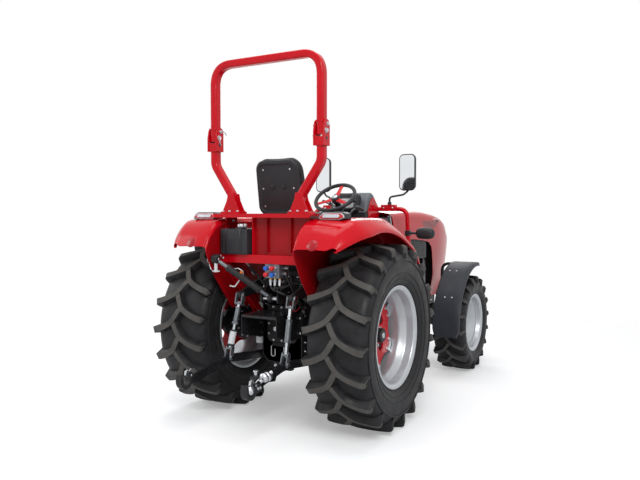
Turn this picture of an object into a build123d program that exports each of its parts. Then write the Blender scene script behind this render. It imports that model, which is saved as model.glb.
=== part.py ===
from build123d import *
import math
import os

os.makedirs("parts", exist_ok=True)

# Compact farm tractor with an open operator station and a folding roll bar.
# Millimetres. +Y is forward, +X is the operator's right, Z = 0 is the ground.
# The origin is on the ground, at the centre of the tractor's length and width.

# Wheels and axles
WHEELBASE = 1850.0
REAR_AXLE_Y = -760.0
FRONT_AXLE_Y = REAR_AXLE_Y + WHEELBASE
REAR_TRACK = 1170.0
FRONT_TRACK = 1160.0
REAR_TYRE_R = 593.0
REAR_TYRE_WIDTH = 410.0
REAR_SEAT_R = 305.0
REAR_RIM_WIDTH = 344.0
FRONT_TYRE_R = 415.0
FRONT_TYRE_WIDTH = 280.0
FRONT_SEAT_R = 228.5
FRONT_RIM_WIDTH = 240.0
FLANGE_HEIGHT = 24.0
RIM_WALL = 8.0
TYRE_WALL = 26.0
LUG_HEIGHT = 38.0
FIT = 0.3
PIN_PLAY = 0.05
REAR_DISC_X = REAR_TRACK / 2
REAR_DISC = 12.0
REAR_DISC_R = 214.0
HUB_LENGTH = 130.0
TRUMPET_END = REAR_DISC_X - HUB_LENGTH
FRONT_DISC_X = FRONT_TRACK / 2 + 75.0
FRONT_DISC = 10.0
FRONT_DISH = 80.0
FRONT_HUB_FACE = FRONT_DISC_X - FRONT_DISH

# Drive line
CASE_HALF = 150.0
CASE_BOTTOM = 385.0
CASE_TOP = 820.0
CASE_REAR = REAR_AXLE_Y - 190.0
GEARBOX_HALF = 125.0
GEARBOX_BOTTOM = 410.0
GEARBOX_TOP = 780.0
ENGINE_REAR = REAR_AXLE_Y + 1010.0
ENGINE_FRONT = REAR_AXLE_Y + 1560.0
ENGINE_HALF = 160.0
ENGINE_BOTTOM = 470.0
ENGINE_TOP = 1120.0
TRUMPET_R = 105.0
TRUMPET_NECK_R = 78.0
TRUMPET_ROOT = 60.0
TRUMPET_FLANGE = 30.0
TRUMPET_FLANGE_R = 118.0
RAIL_IN = 112.0
RAIL_OUT = 145.0
RAIL_BOTTOM = 500.0
RAIL_TOP = 630.0
NOSE_PLATE_Y = REAR_AXLE_Y + 2350.0
NOSE_PLATE = 20.0

# Front axle
BEAM_HALF = 45.0
DIFF_HALF = 95.0
DIFF_WIDTH = 110.0
HANGER = 20.0
KINGPIN_X = FRONT_TRACK / 2 - 180.0
KINGPIN_R = 20.0
BARREL_R = 52.0
BARREL_HALF = 63.0
EAR_GAP = 5.0
EAR = 28.0
STEER_ARM_X = KINGPIN_X - 30.0
STEER_ARM_Y = FRONT_AXLE_Y - 150.0
STEER_ROD_R = 14.0
FENDER_GAP = 115.0
FRONT_FENDER_IN = FRONT_TRACK / 2 - 75.0
FRONT_FENDER_OUT = FRONT_TRACK / 2 + 142.0
FRONT_FENDER_WALL = 6.0

# Deck and operator station
DECK_TOP = 880.0
DECK_WALL = 12.0
DECK_WIDE = 430.0
DECK_REAR = REAR_AXLE_Y - 60.0
DECK_STEP_Y = REAR_AXLE_Y + 700.0
DECK_FRONT = REAR_AXLE_Y + 1000.0
COWL_REAR = REAR_AXLE_Y + 745.0
COWL_FRONT = REAR_AXLE_Y + 980.0
COWL_HALF = 165.0
WHEEL_HUB = (0.0, REAR_AXLE_Y + 550.0, 1500.0)
STEERING_TILT = 40.0
STEERING_R = 170.0
STEERING_RIM_R = 15.0
COLUMN_R = 30.0
SEAT_BASE_HALF = 150.0
SEAT_REAR = REAR_AXLE_Y - 160.0
SEAT_FRONT = REAR_AXLE_Y + 200.0
SEAT_PAN_Z = 1270.0
SEAT_PAN = 20.0
CUSHION = 100.0
CUSHION_HALF = 225.0
BACK_HALF = 205.0
BACK_HEIGHT = 370.0
BACK_LEAN = 12.0

# Rear fenders
FENDER_SIDE_GAP = 50.0
FENDER_IN = (REAR_TRACK - REAR_TYRE_WIDTH) / 2 - FENDER_SIDE_GAP
FENDER_OUT = REAR_TRACK / 2 + 137.0
FENDER_WALL = 5.0
FENDER_TOP = 1335.0
FENDER_REAR_DY = 575.0
FENDER_REAR_Z = 1160.0
FENDER_FRONT_DY = 650.0

# Roll bar and its frame
FRAME_Y = REAR_AXLE_Y - 400.0
PLATE_Z = 1366.0
PLATE = 12.0
PLATE_HALF = 380.0
PLATE_REAR = REAR_AXLE_Y - 450.0
PLATE_FRONT = REAR_AXLE_Y - 255.0
BAR_Y = REAR_AXLE_Y - 368.0
BAR_X = 408.0
BAR_FOOT_X = 262.0
BAR_TOP = 2356.0
BAR_WIDE = 50.0
BAR_DEEP = 62.0
BAR_CORNER = 135.0
HINGE_Z = 1880.0
HINGE_BACK = 12.0
HINGE_PLATE = 10.0
BEAM_TOP = 1115.0
BEAM_BOTTOM = 1060.0
FRAME_HALF = FENDER_IN - FIT

# Rear hitch
ROCKSHAFT_Y = REAR_AXLE_Y - 120.0
ROCKSHAFT_Z = 905.0
ROCKSHAFT_R = 30.0
LIFT_ARM_DY = -260.0
LIFT_ARM_DZ = -60.0
LIFT_ARM_X = 199.0
LIFT_ARM = 28.0
LINK_Y = REAR_AXLE_Y - 50.0
LINK_Z = 400.0
LINK_X = 215.0
LINK = 20.0
LINK_PIN_R = 14.0
LINK_ROD_DY = -440.0
LINK_ROD_DZ = 50.0
LINK_END_DY = -840.0
LINK_END_DZ = -15.0
PTO_Z = 620.0
PTO_R = 17.4
PTO_OUT = 75.0
PTO_JOURNAL_R = 22.0
PTO_RELIEF_R = 15.0
PTO_RELIEF = 4.0
DRAWBAR_Z = 330.0
DRAWBAR = 28.0
DRAWBAR_HOLE_R = 13.0

# Hood
HOOD_REAR = REAR_AXLE_Y + 1000.0
HOOD_NOSE = REAR_AXLE_Y + 2445.0
HOOD_HALF = 282.0
HOOD_TOP = 1402.0
HOOD_WALL = 4.0
HOOD_HINGE_Y = REAR_AXLE_Y + 1030.0
HOOD_HINGE_Z = 1360.0
HOOD_HINGE_X = 120.0
HOOD_PIN_R = 8.0
HOOD_SIDE_Z = 980.0
GRILLE_HALF = 190.0
GRILLE_BOTTOM = 640.0

# Handrails, lamps and mirrors
RAIL_TUBE_R = 17.0
RAIL_X = DECK_WIDE - 10.0
RAIL_TOP_Z = 1435.0
MIRROR_X = 385.0
MIRROR_Z = 1708.0


def box_between(low, high):
    """A box from its lowest to its highest corner."""
    size = [b - a for a, b in zip(low, high)]
    with Locations(tuple(low)):
        Box(*size, align=(Align.MIN, Align.MIN, Align.MIN))


def wheel_plane(x, y, z):
    """Local X runs along the axle, local Y is up."""
    return Plane(origin=(x, y, z), x_dir=(1, 0, 0), z_dir=(0, -1, 0))


def rod_between(start, end, radius):
    """A round bar between two points."""
    run = Vector(*end) - Vector(*start)
    with BuildSketch(Plane(origin=start, z_dir=run)) as section:
        Circle(radius)
    extrude(section.sketch, amount=run.length)


def plate_across(x_low, x_high, points):
    """A plate between two X planes, outlined by (y, z) points."""
    with BuildSketch(Plane.YZ.offset(x_low)) as outline:
        with BuildLine():
            Polyline(*points, close=True)
        make_face()
    extrude(outline.sketch, amount=x_high - x_low)


def cross_cylinder(x_low, x_high, y, z, radius, mode=Mode.ADD):
    """A cylinder along X."""
    with BuildSketch(Plane.YZ.offset(x_low)) as section:
        with Locations((y, z)):
            Circle(radius)
    extrude(section.sketch, amount=x_high - x_low, mode=mode)


def tyre_section(width, outer_r, seat_r, rim_width):
    """Half the tyre's section, mirrored."""
    half = width / 2
    belly_r = (outer_r + seat_r) / 2 + 5
    heel = rim_width / 2 - RIM_WALL - FIT
    with BuildSketch() as section:
        with BuildLine():
            Polyline((0, outer_r), (half - 34, outer_r - 8), (half - 8, outer_r - LUG_HEIGHT))
            ThreePointArc(
                (half - 8, outer_r - LUG_HEIGHT),
                (half, belly_r),
                (heel, seat_r + FLANGE_HEIGHT),
            )
            Polyline((heel, seat_r + FLANGE_HEIGHT), (heel, seat_r + FIT), (heel - 34, seat_r + FIT))
            ThreePointArc(
                (heel - 34, seat_r + FIT),
                (half - TYRE_WALL, belly_r),
                (half - TYRE_WALL - 22, outer_r - LUG_HEIGHT - TYRE_WALL),
            )
            Polyline(
                (half - TYRE_WALL - 22, outer_r - LUG_HEIGHT - TYRE_WALL),
                (0, outer_r - LUG_HEIGHT - TYRE_WALL),
                (0, outer_r),
            )
        make_face()
        mirror(about=Plane.YZ)
    return section.sketch


def rim_section(rim_width, seat_r, well_r):
    """Half the drop-centre rim's section, mirrored."""
    half = rim_width / 2
    with BuildSketch() as section:
        with BuildLine():
            Polyline(
                (0, well_r),
                (half * 0.40, well_r),
                (half * 0.60, seat_r - 4),
                (half - RIM_WALL, seat_r),
                (half - RIM_WALL, seat_r + FLANGE_HEIGHT),
                (half, seat_r + FLANGE_HEIGHT),
                (half, seat_r - RIM_WALL),
                (half * 0.64, seat_r - 4 - RIM_WALL),
                (half * 0.44, well_r - RIM_WALL),
                (0, well_r - RIM_WALL),
                close=True,
            )
        make_face()
        mirror(about=Plane.YZ)
    return section.sketch


SIDES = (("left", -1), ("right", 1))
AXLE_DROP = REAR_TYRE_R - FRONT_TYRE_R

# Rear wheels: tyre, rim and bolted disc with the axle shaft's flange
REAR_WELL_R = REAR_SEAT_R - 38
AXLE_SHAFT_R = 58.0
HUB_FLANGE = 28.0
HUB_FLANGE_R = 100.0
HUB_BOSS_R = 48.0
HUB_BOSS = 58.0
for side, sign in SIDES:
    axle = Axis((0, REAR_AXLE_Y, REAR_TYRE_R), (1, 0, 0))
    plane = wheel_plane(sign * REAR_TRACK / 2, REAR_AXLE_Y, REAR_TYRE_R)
    with BuildPart() as rear_tyre:
        with BuildSketch(plane):
            add(tyre_section(REAR_TYRE_WIDTH, REAR_TYRE_R, REAR_SEAT_R, REAR_RIM_WIDTH))
        revolve(axis=axle)
    rear_tyre.part.label = f"rear_tyre_{side}"
    export_step(rear_tyre.part, f"parts/rear_tyre_{side}.step")

    with BuildPart() as rear_rim:
        with BuildSketch(plane):
            add(rim_section(REAR_RIM_WIDTH, REAR_SEAT_R, REAR_WELL_R))
        revolve(axis=axle)
    rear_rim.part.label = f"rear_rim_{side}"
    export_step(rear_rim.part, f"parts/rear_rim_{side}.step")

    disc_in = sign * REAR_DISC_X
    disc_out = sign * (REAR_DISC_X + REAR_DISC)
    with BuildPart() as rear_disc:
        with BuildSketch(wheel_plane(0, REAR_AXLE_Y, REAR_TYRE_R)):
            with BuildLine():
                Polyline(
                    (sign * (TRUMPET_END + FIT), 0),
                    (sign * (TRUMPET_END + FIT), AXLE_SHAFT_R),
                    (sign * (REAR_DISC_X - HUB_FLANGE), AXLE_SHAFT_R),
                    (sign * (REAR_DISC_X - HUB_FLANGE), HUB_FLANGE_R),
                    (disc_in, HUB_FLANGE_R),
                    (disc_in, REAR_WELL_R - RIM_WALL - FIT),
                    (disc_out, REAR_WELL_R - RIM_WALL - FIT),
                    (disc_out, HUB_BOSS_R),
                    (disc_out + sign * HUB_BOSS, HUB_BOSS_R),
                    (disc_out + sign * HUB_BOSS, 0),
                    close=True,
                )
            make_face()
        revolve(axis=axle)
    rear_disc.part.label = f"rear_disc_{side}"
    export_step(rear_disc.part, f"parts/rear_disc_{side}.step")

# Front wheels: tyre, and a rim with its welded disc
FRONT_WELL_R = FRONT_SEAT_R - 30
for side, sign in SIDES:
    axle = Axis((0, FRONT_AXLE_Y, FRONT_TYRE_R), (1, 0, 0))
    plane = wheel_plane(sign * FRONT_TRACK / 2, FRONT_AXLE_Y, FRONT_TYRE_R)
    with BuildPart() as front_tyre:
        with BuildSketch(plane):
            add(tyre_section(FRONT_TYRE_WIDTH, FRONT_TYRE_R, FRONT_SEAT_R, FRONT_RIM_WIDTH))
        revolve(axis=axle)
    front_tyre.part.label = f"front_tyre_{side}"
    export_step(front_tyre.part, f"parts/front_tyre_{side}.step")

    with BuildPart() as front_rim:
        with BuildSketch(plane):
            add(rim_section(FRONT_RIM_WIDTH, FRONT_SEAT_R, FRONT_WELL_R))
        revolve(axis=axle)
        with BuildSketch(wheel_plane(0, FRONT_AXLE_Y, FRONT_TYRE_R)):
            with BuildLine():
                Polyline(
                    (sign * FRONT_HUB_FACE, 0),
                    (sign * FRONT_HUB_FACE, 110),
                    (sign * (FRONT_DISC_X - 6), 178),
                    (sign * (FRONT_DISC_X - 6), FRONT_SEAT_R - 9.5),
                    (sign * (FRONT_DISC_X + FRONT_DISC - 6), FRONT_SEAT_R - 9.5),
                    (sign * (FRONT_DISC_X + FRONT_DISC - 6), 172),
                    (sign * (FRONT_HUB_FACE + FRONT_DISC), 104),
                    (sign * (FRONT_HUB_FACE + FRONT_DISC), 56),
                    (sign * (FRONT_HUB_FACE + 48), 46),
                    (sign * (FRONT_HUB_FACE + 48), 0),
                    close=True,
                )
            make_face()
        revolve(axis=axle)
    front_rim.part.label = f"front_rim_{side}"
    export_step(front_rim.part, f"parts/front_rim_{side}.step")

# Steering knuckles and the fenders they carry
BARREL_TOP = FRONT_TYRE_R + BARREL_HALF
BARREL_BOTTOM = FRONT_TYRE_R - BARREL_HALF
EAR_TOP = BARREL_TOP + EAR_GAP + EAR
EAR_BOTTOM = BARREL_BOTTOM - EAR_GAP - EAR
KNUCKLE_WALL_X = KINGPIN_X + 66
FENDER_R = FRONT_TYRE_R + FENDER_GAP
FENDER_START = 78.0
FENDER_END = 186.0
for side, sign in SIDES:
    wall_low = min(sign * KNUCKLE_WALL_X, sign * (KNUCKLE_WALL_X + 30))
    with BuildPart() as knuckle:
        with Locations((sign * KINGPIN_X, FRONT_AXLE_Y, 0)):
            with Locations((0, 0, BARREL_TOP + EAR_GAP)):
                Cylinder(56, EAR, align=(Align.CENTER, Align.CENTER, Align.MIN))
            with Locations((0, 0, EAR_BOTTOM)):
                Cylinder(56, EAR, align=(Align.CENTER, Align.CENTER, Align.MIN))
            with Locations((0, 0, BARREL_TOP - 38)):
                Cylinder(KINGPIN_R, 38 + EAR_GAP + 1, align=(Align.CENTER, Align.CENTER, Align.MIN))
            with Locations((0, 0, EAR_BOTTOM + EAR - 1)):
                Cylinder(KINGPIN_R, 39 + EAR_GAP, align=(Align.CENTER, Align.CENTER, Align.MIN))
        ear_low = min(sign * KINGPIN_X, sign * (KNUCKLE_WALL_X + 5))
        ear_high = max(sign * KINGPIN_X, sign * (KNUCKLE_WALL_X + 5))
        box_between((ear_low, FRONT_AXLE_Y - 50, BARREL_TOP + EAR_GAP), (ear_high, FRONT_AXLE_Y + 50, EAR_TOP))
        box_between((ear_low, FRONT_AXLE_Y - 50, EAR_BOTTOM), (ear_high, FRONT_AXLE_Y + 50, EAR_BOTTOM + EAR))
        box_between(
            (wall_low, FRONT_AXLE_Y - 75, EAR_BOTTOM),
            (wall_low + 30, FRONT_AXLE_Y + 75, EAR_TOP),
        )
        hub_low = min(sign * (KNUCKLE_WALL_X + 20), sign * (FRONT_HUB_FACE - FIT))
        hub_high = max(sign * (KNUCKLE_WALL_X + 20), sign * (FRONT_HUB_FACE - FIT))
        cross_cylinder(hub_low, hub_high, FRONT_AXLE_Y, FRONT_TYRE_R, 82)
        arm = [
            (sign * (KNUCKLE_WALL_X + 30), FRONT_AXLE_Y - 60),
            (sign * (KNUCKLE_WALL_X + 30), FRONT_AXLE_Y - 110),
            (sign * STEER_ARM_X, STEER_ARM_Y - 22),
            (sign * STEER_ARM_X, STEER_ARM_Y + 22),
            (sign * KNUCKLE_WALL_X, FRONT_AXLE_Y - 60),
        ]
        with BuildSketch(Plane.XY.offset(FRONT_TYRE_R - 20)):
            with BuildLine():
                Polyline(*arm, close=True)
            make_face()
            with Locations((sign * STEER_ARM_X, STEER_ARM_Y)):
                Circle(22)
        extrude(amount=20)
    knuckle.part.label = f"knuckle_{side}"
    export_step(knuckle.part, f"parts/knuckle_{side}.step")

    with BuildPart() as front_fender:
        fender_low = min(sign * FRONT_FENDER_IN, sign * FRONT_FENDER_OUT)
        with BuildSketch(Plane.YZ.offset(fender_low)):
            with BuildLine():
                arch = CenterArc(
                    (FRONT_AXLE_Y, FRONT_TYRE_R), FENDER_R, FENDER_START, FENDER_END - FENDER_START
                )
                offset(arch, amount=-FRONT_FENDER_WALL, side=Side.LEFT)
            make_face()
        extrude(amount=FRONT_FENDER_OUT - FRONT_FENDER_IN)
        stay_x = sign * (KINGPIN_X + 8)
        top_z = FRONT_TYRE_R + FENDER_R - 14
        stay = [
            (stay_x, FRONT_AXLE_Y - 30, EAR_TOP + FIT),
            (stay_x, FRONT_AXLE_Y - 30, top_z),
            (sign * (FRONT_FENDER_OUT - 60), FRONT_AXLE_Y - 30, top_z),
        ]
        with BuildLine():
            route = FilletPolyline(*stay, radius=70)
        with BuildSketch(Plane(origin=route @ 0, z_dir=route % 0)):
            Circle(13)
        sweep(path=route)
    front_fender.part.label = f"front_fender_{side}"
    export_step(front_fender.part, f"parts/front_fender_{side}.step")

# Front axle beam with its centre housing and the steering cylinder
with BuildPart() as front_axle:
    box_between(
        (-KINGPIN_X + 40, FRONT_AXLE_Y - BEAM_HALF, FRONT_TYRE_R - BEAM_HALF),
        (KINGPIN_X - 40, FRONT_AXLE_Y + BEAM_HALF, FRONT_TYRE_R + BEAM_HALF),
    )
    box_between(
        (-DIFF_WIDTH, FRONT_AXLE_Y - DIFF_HALF + FIT, FRONT_TYRE_R - 60),
        (DIFF_WIDTH, FRONT_AXLE_Y + DIFF_HALF - FIT, FRONT_TYRE_R + 60),
    )
    for sign in (-1, 1):
        with Locations((sign * KINGPIN_X, FRONT_AXLE_Y, FRONT_TYRE_R)):
            Cylinder(BARREL_R, 2 * BARREL_HALF)
            with Locations((0, 0, BARREL_HALF - 20), (0, 0, 20 - BARREL_HALF)):
                Cylinder(KINGPIN_R + PIN_PLAY, 40, mode=Mode.SUBTRACT)
    cross_cylinder(-190, 190, STEER_ARM_Y, FRONT_TYRE_R + 20, 28)
    for sign in (-1, 1):
        stay_low = min(sign * 60, sign * 100)
        box_between(
            (stay_low, STEER_ARM_Y, FRONT_TYRE_R),
            (stay_low + 40, FRONT_AXLE_Y - DIFF_HALF + 10, FRONT_TYRE_R + 40),
        )
    cross_cylinder(-200, 200, STEER_ARM_Y, FRONT_TYRE_R + 20, STEER_ROD_R + PIN_PLAY, Mode.SUBTRACT)
front_axle.part.label = "front_axle"
export_step(front_axle.part, "parts/front_axle.step")

# Sliding steering rod with its end eyes above the knuckle arms
with BuildPart() as steering_rod:
    cross_cylinder(-STEER_ARM_X, STEER_ARM_X, STEER_ARM_Y, FRONT_TYRE_R + 20, STEER_ROD_R)
    for sign in (-1, 1):
        with Locations((sign * STEER_ARM_X, STEER_ARM_Y, FRONT_TYRE_R + 20)):
            Cylinder(24, 30)
steering_rod.part.label = "steering_rod"
export_step(steering_rod.part, "parts/steering_rod.step")

# Front frame: two rails, the weight plate at the nose and the axle's hangers
with BuildPart() as front_frame:
    for sign in (-1, 1):
        rail_low = min(sign * RAIL_IN, sign * RAIL_OUT)
        box_between(
            (rail_low, ENGINE_FRONT, RAIL_BOTTOM),
            (rail_low + RAIL_OUT - RAIL_IN, NOSE_PLATE_Y, RAIL_TOP),
        )
    box_between(
        (-RAIL_OUT, NOSE_PLATE_Y - NOSE_PLATE, RAIL_BOTTOM - 20), (RAIL_OUT, NOSE_PLATE_Y, RAIL_TOP)
    )
    for sign in (-1, 1):
        hanger_low = min(
            FRONT_AXLE_Y + sign * DIFF_HALF, FRONT_AXLE_Y + sign * (DIFF_HALF + HANGER)
        )
        box_between(
            (-RAIL_OUT, hanger_low, RAIL_BOTTOM), (RAIL_OUT, hanger_low + HANGER, RAIL_BOTTOM + 30)
        )
        box_between((-55, hanger_low, FRONT_TYRE_R - 50), (55, hanger_low + HANGER, RAIL_BOTTOM + 5))
    with Locations(Plane.XZ.offset(-NOSE_PLATE_Y)):
        with Locations((0, (RAIL_BOTTOM + RAIL_TOP) / 2)):
            with GridLocations(200, 70, 2, 2):
                Hole(8.5, depth=NOSE_PLATE)
front_frame.part.label = "front_frame"
export_step(front_frame.part, "parts/front_frame.step")

# Engine, one plain block
with BuildPart() as engine_block:
    box_between((-ENGINE_HALF, ENGINE_REAR, ENGINE_BOTTOM), (ENGINE_HALF, ENGINE_FRONT, ENGINE_TOP))
engine_block.part.label = "engine_block"
export_step(engine_block.part, "parts/engine_block.step")

# Radiator on the front rails
RADIATOR_Y = FRONT_AXLE_Y - 40
with BuildPart() as radiator:
    box_between((-225, RADIATOR_Y, RAIL_TOP), (225, RADIATOR_Y + 75, 1230))
radiator.part.label = "radiator"
export_step(radiator.part, "parts/radiator.step")

# Transmission: rear housing, gearbox, clutch housing and the lift cover
LIFT_TOP = ROCKSHAFT_Z + 50
PTO_BORE = 100.0
with BuildPart() as transmission_case:
    box_between(
        (-CASE_HALF, CASE_REAR, CASE_BOTTOM), (CASE_HALF, REAR_AXLE_Y + 230, CASE_TOP)
    )
    box_between(
        (-GEARBOX_HALF, REAR_AXLE_Y + 220, GEARBOX_BOTTOM), (GEARBOX_HALF, ENGINE_REAR, GEARBOX_TOP)
    )
    box_between(
        (-ENGINE_HALF, ENGINE_REAR - 90, ENGINE_BOTTOM), (ENGINE_HALF, ENGINE_REAR, GEARBOX_TOP + 60)
    )
    box_between((-CASE_HALF, CASE_REAR + 10, CASE_TOP - 5), (CASE_HALF, REAR_AXLE_Y + 0, LIFT_TOP))
    cross_cylinder(
        -CASE_HALF - 1, CASE_HALF + 1, ROCKSHAFT_Y, ROCKSHAFT_Z, ROCKSHAFT_R + PIN_PLAY, Mode.SUBTRACT
    )
    for sign in (-1, 1):
        pin_low = min(sign * (CASE_HALF - 1), sign * (LINK_X + 45))
        pin_high = max(sign * (CASE_HALF - 1), sign * (LINK_X + 45))
        cross_cylinder(pin_low, pin_high, LINK_Y, LINK_Z, LINK_PIN_R)
        boss_low = min(sign * (CASE_HALF - 1), sign * (LINK_X - LINK / 2 - 6))
        boss_high = max(sign * (CASE_HALF - 1), sign * (LINK_X - LINK / 2 - 6))
        cross_cylinder(boss_low, boss_high, LINK_Y, LINK_Z, 34)
    with BuildSketch(Plane.XZ.offset(-CASE_REAR)):
        with Locations((0, PTO_Z)):
            Circle(PTO_JOURNAL_R + PIN_PLAY)
    extrude(amount=-PTO_BORE, mode=Mode.SUBTRACT)
    for x in (-70, 58):
        plate_across(
            x,
            x + 12,
            [
                (CASE_REAR + 12, CASE_TOP - 40),
                (CASE_REAR + 12, LIFT_TOP),
                (CASE_REAR - 155, LIFT_TOP - 105),
                (CASE_REAR - 155, LIFT_TOP - 155),
            ],
        )
transmission_case.part.label = "transmission_case"
export_step(transmission_case.part, "parts/transmission_case.step")

# Rear axle trumpets
with BuildPart() as rear_axle:
    for sign in (-1, 1):
        with BuildSketch(wheel_plane(0, REAR_AXLE_Y, REAR_TYRE_R)):
            with BuildLine():
                Polyline(
                    (sign * CASE_HALF, 0),
                    (sign * CASE_HALF, 135),
                    (sign * (CASE_HALF + 50), 135),
                    (sign * (CASE_HALF + TRUMPET_ROOT), TRUMPET_R),
                    (sign * (TRUMPET_END - TRUMPET_FLANGE), TRUMPET_NECK_R),
                    (sign * (TRUMPET_END - TRUMPET_FLANGE), TRUMPET_FLANGE_R),
                    (sign * TRUMPET_END, TRUMPET_FLANGE_R),
                    (sign * TRUMPET_END, 0),
                    close=True,
                )
            make_face()
        revolve(axis=Axis((0, REAR_AXLE_Y, REAR_TYRE_R), (1, 0, 0)))
rear_axle.part.label = "rear_axle"
export_step(rear_axle.part, "parts/rear_axle.step")

# Output shaft for driven implements
with BuildPart() as pto_shaft:
    stretches = [
        (CASE_REAR + PTO_BORE - 5, CASE_REAR - PTO_RELIEF, PTO_JOURNAL_R),
        (CASE_REAR - PTO_RELIEF, CASE_REAR - 2 * PTO_RELIEF, PTO_RELIEF_R),
        (CASE_REAR - 2 * PTO_RELIEF, CASE_REAR - 2 * PTO_RELIEF - PTO_OUT, PTO_R),
    ]
    for front, rear, radius in stretches:
        with BuildSketch(Plane.XZ.offset(-front)):
            with Locations((0, PTO_Z)):
                Circle(radius)
        extrude(amount=front - rear)
pto_shaft.part.label = "pto_shaft"
export_step(pto_shaft.part, "parts/pto_shaft.step")

# Guard over the output shaft
GUARD_HALF = 135.0
GUARD_REAR = REAR_AXLE_Y - 460
GUARD_TOP = 730.0
GUARD_WALL = 5.0
with BuildPart() as pto_guard:
    box_between((-GUARD_HALF, GUARD_REAR, GUARD_TOP - GUARD_WALL), (GUARD_HALF, CASE_REAR, GUARD_TOP))
    for sign in (-1, 1):
        guard_low = min(sign * (GUARD_HALF - GUARD_WALL), sign * GUARD_HALF)
        plate_across(
            guard_low,
            guard_low + GUARD_WALL,
            [
                (CASE_REAR, GUARD_TOP),
                (GUARD_REAR, GUARD_TOP),
                (GUARD_REAR, GUARD_TOP - 120),
                (CASE_REAR - 60, PTO_Z - 70),
                (CASE_REAR, PTO_Z - 70),
            ],
        )
pto_guard.part.label = "pto_guard"
export_step(pto_guard.part, "parts/pto_guard.step")

# Drawbar below the rear housing
DRAWBAR_REAR = REAR_AXLE_Y - 530
DRAWBAR_HOLE_Y = DRAWBAR_REAR + 40
with BuildPart() as drawbar:
    with BuildSketch(Plane.XY.offset(DRAWBAR_Z)):
        with Locations((0, (DRAWBAR_REAR + LINK_Y) / 2)):
            Rectangle(70, LINK_Y - DRAWBAR_REAR)
        with Locations((0, DRAWBAR_HOLE_Y)):
            Circle(DRAWBAR_HOLE_R, mode=Mode.SUBTRACT)
    extrude(amount=DRAWBAR)
    box_between((-70, CASE_REAR, DRAWBAR_Z), (70, CASE_REAR + 40, CASE_BOTTOM))
    box_between((-50, LINK_Y - 60, DRAWBAR_Z), (50, LINK_Y, CASE_BOTTOM))
drawbar.part.label = "drawbar"
export_step(drawbar.part, "parts/drawbar.step")

# Lift arms on the rockshaft
ARM_END = (ROCKSHAFT_Y + LIFT_ARM_DY, ROCKSHAFT_Z + LIFT_ARM_DZ)
LIFT_PIN_R = 11.0
with BuildPart() as lift_arms:
    cross_cylinder(
        -LIFT_ARM_X - LIFT_ARM / 2, LIFT_ARM_X + LIFT_ARM / 2, ROCKSHAFT_Y, ROCKSHAFT_Z, ROCKSHAFT_R
    )
    for sign in (-1, 1):
        arm_low = sign * LIFT_ARM_X - LIFT_ARM / 2
        with BuildSketch(Plane.YZ.offset(arm_low)):
            with Locations((ROCKSHAFT_Y, ROCKSHAFT_Z)):
                Circle(48)
            with Locations(ARM_END):
                Circle(25)
            make_hull()
            with Locations(ARM_END):
                Circle(LIFT_PIN_R + PIN_PLAY, mode=Mode.SUBTRACT)
        extrude(amount=LIFT_ARM)
lift_arms.part.label = "lift_arms"
export_step(lift_arms.part, "parts/lift_arms.step")

# Lift rods: forks, turnbuckles and the upper pins
ROD_END = (LINK_Y + LINK_ROD_DY, LINK_Z + LINK_ROD_DZ)
FORK_GAP = 6.0
FORK_EAR = 8.0
with BuildPart() as lift_rods:
    for sign in (-1, 1):
        top_x = sign * LIFT_ARM_X
        low_x = sign * LINK_X
        ear_top = LIFT_ARM / 2 + FORK_GAP
        for ear in (-1, 1):
            ear_low = min(top_x + ear * ear_top, top_x + ear * (ear_top + FORK_EAR))
            plate_across(
                ear_low,
                ear_low + FORK_EAR,
                [
                    (ARM_END[0] - 17, ARM_END[1] + 18),
                    (ARM_END[0] + 17, ARM_END[1] + 18),
                    (ARM_END[0] + 6, ARM_END[1] - 62),
                    (ARM_END[0] - 36, ARM_END[1] - 62),
                ],
            )
        cross_cylinder(
            top_x - ear_top - FORK_EAR, top_x + ear_top + FORK_EAR, *ARM_END, LIFT_PIN_R
        )
        box_between(
            (top_x - ear_top - FORK_EAR, ARM_END[0] - 36, ARM_END[1] - 62),
            (top_x + ear_top + FORK_EAR, ARM_END[0] + 6, ARM_END[1] - 44),
        )
        ear_bottom = LINK / 2 + FORK_GAP
        for ear in (-1, 1):
            ear_low = min(low_x + ear * ear_bottom, low_x + ear * (ear_bottom + FORK_EAR))
            plate_across(
                ear_low,
                ear_low + FORK_EAR,
                [
                    (ROD_END[0] - 18, ROD_END[1] - 18),
                    (ROD_END[0] + 18, ROD_END[1] - 18),
                    (ROD_END[0] + 36, ROD_END[1] + 66),
                    (ROD_END[0] - 4, ROD_END[1] + 66),
                ],
            )
        box_between(
            (low_x - ear_bottom - FORK_EAR, ROD_END[0] - 4, ROD_END[1] + 52),
            (low_x + ear_bottom + FORK_EAR, ROD_END[0] + 36, ROD_END[1] + 66),
        )
        rod_between(
            (top_x, ARM_END[0] - 15, ARM_END[1] - 50), (low_x, ROD_END[0] + 15, ROD_END[1] + 58), 13
        )
lift_rods.part.label = "lift_rods"
export_step(lift_rods.part, "parts/lift_rods.step")

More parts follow.
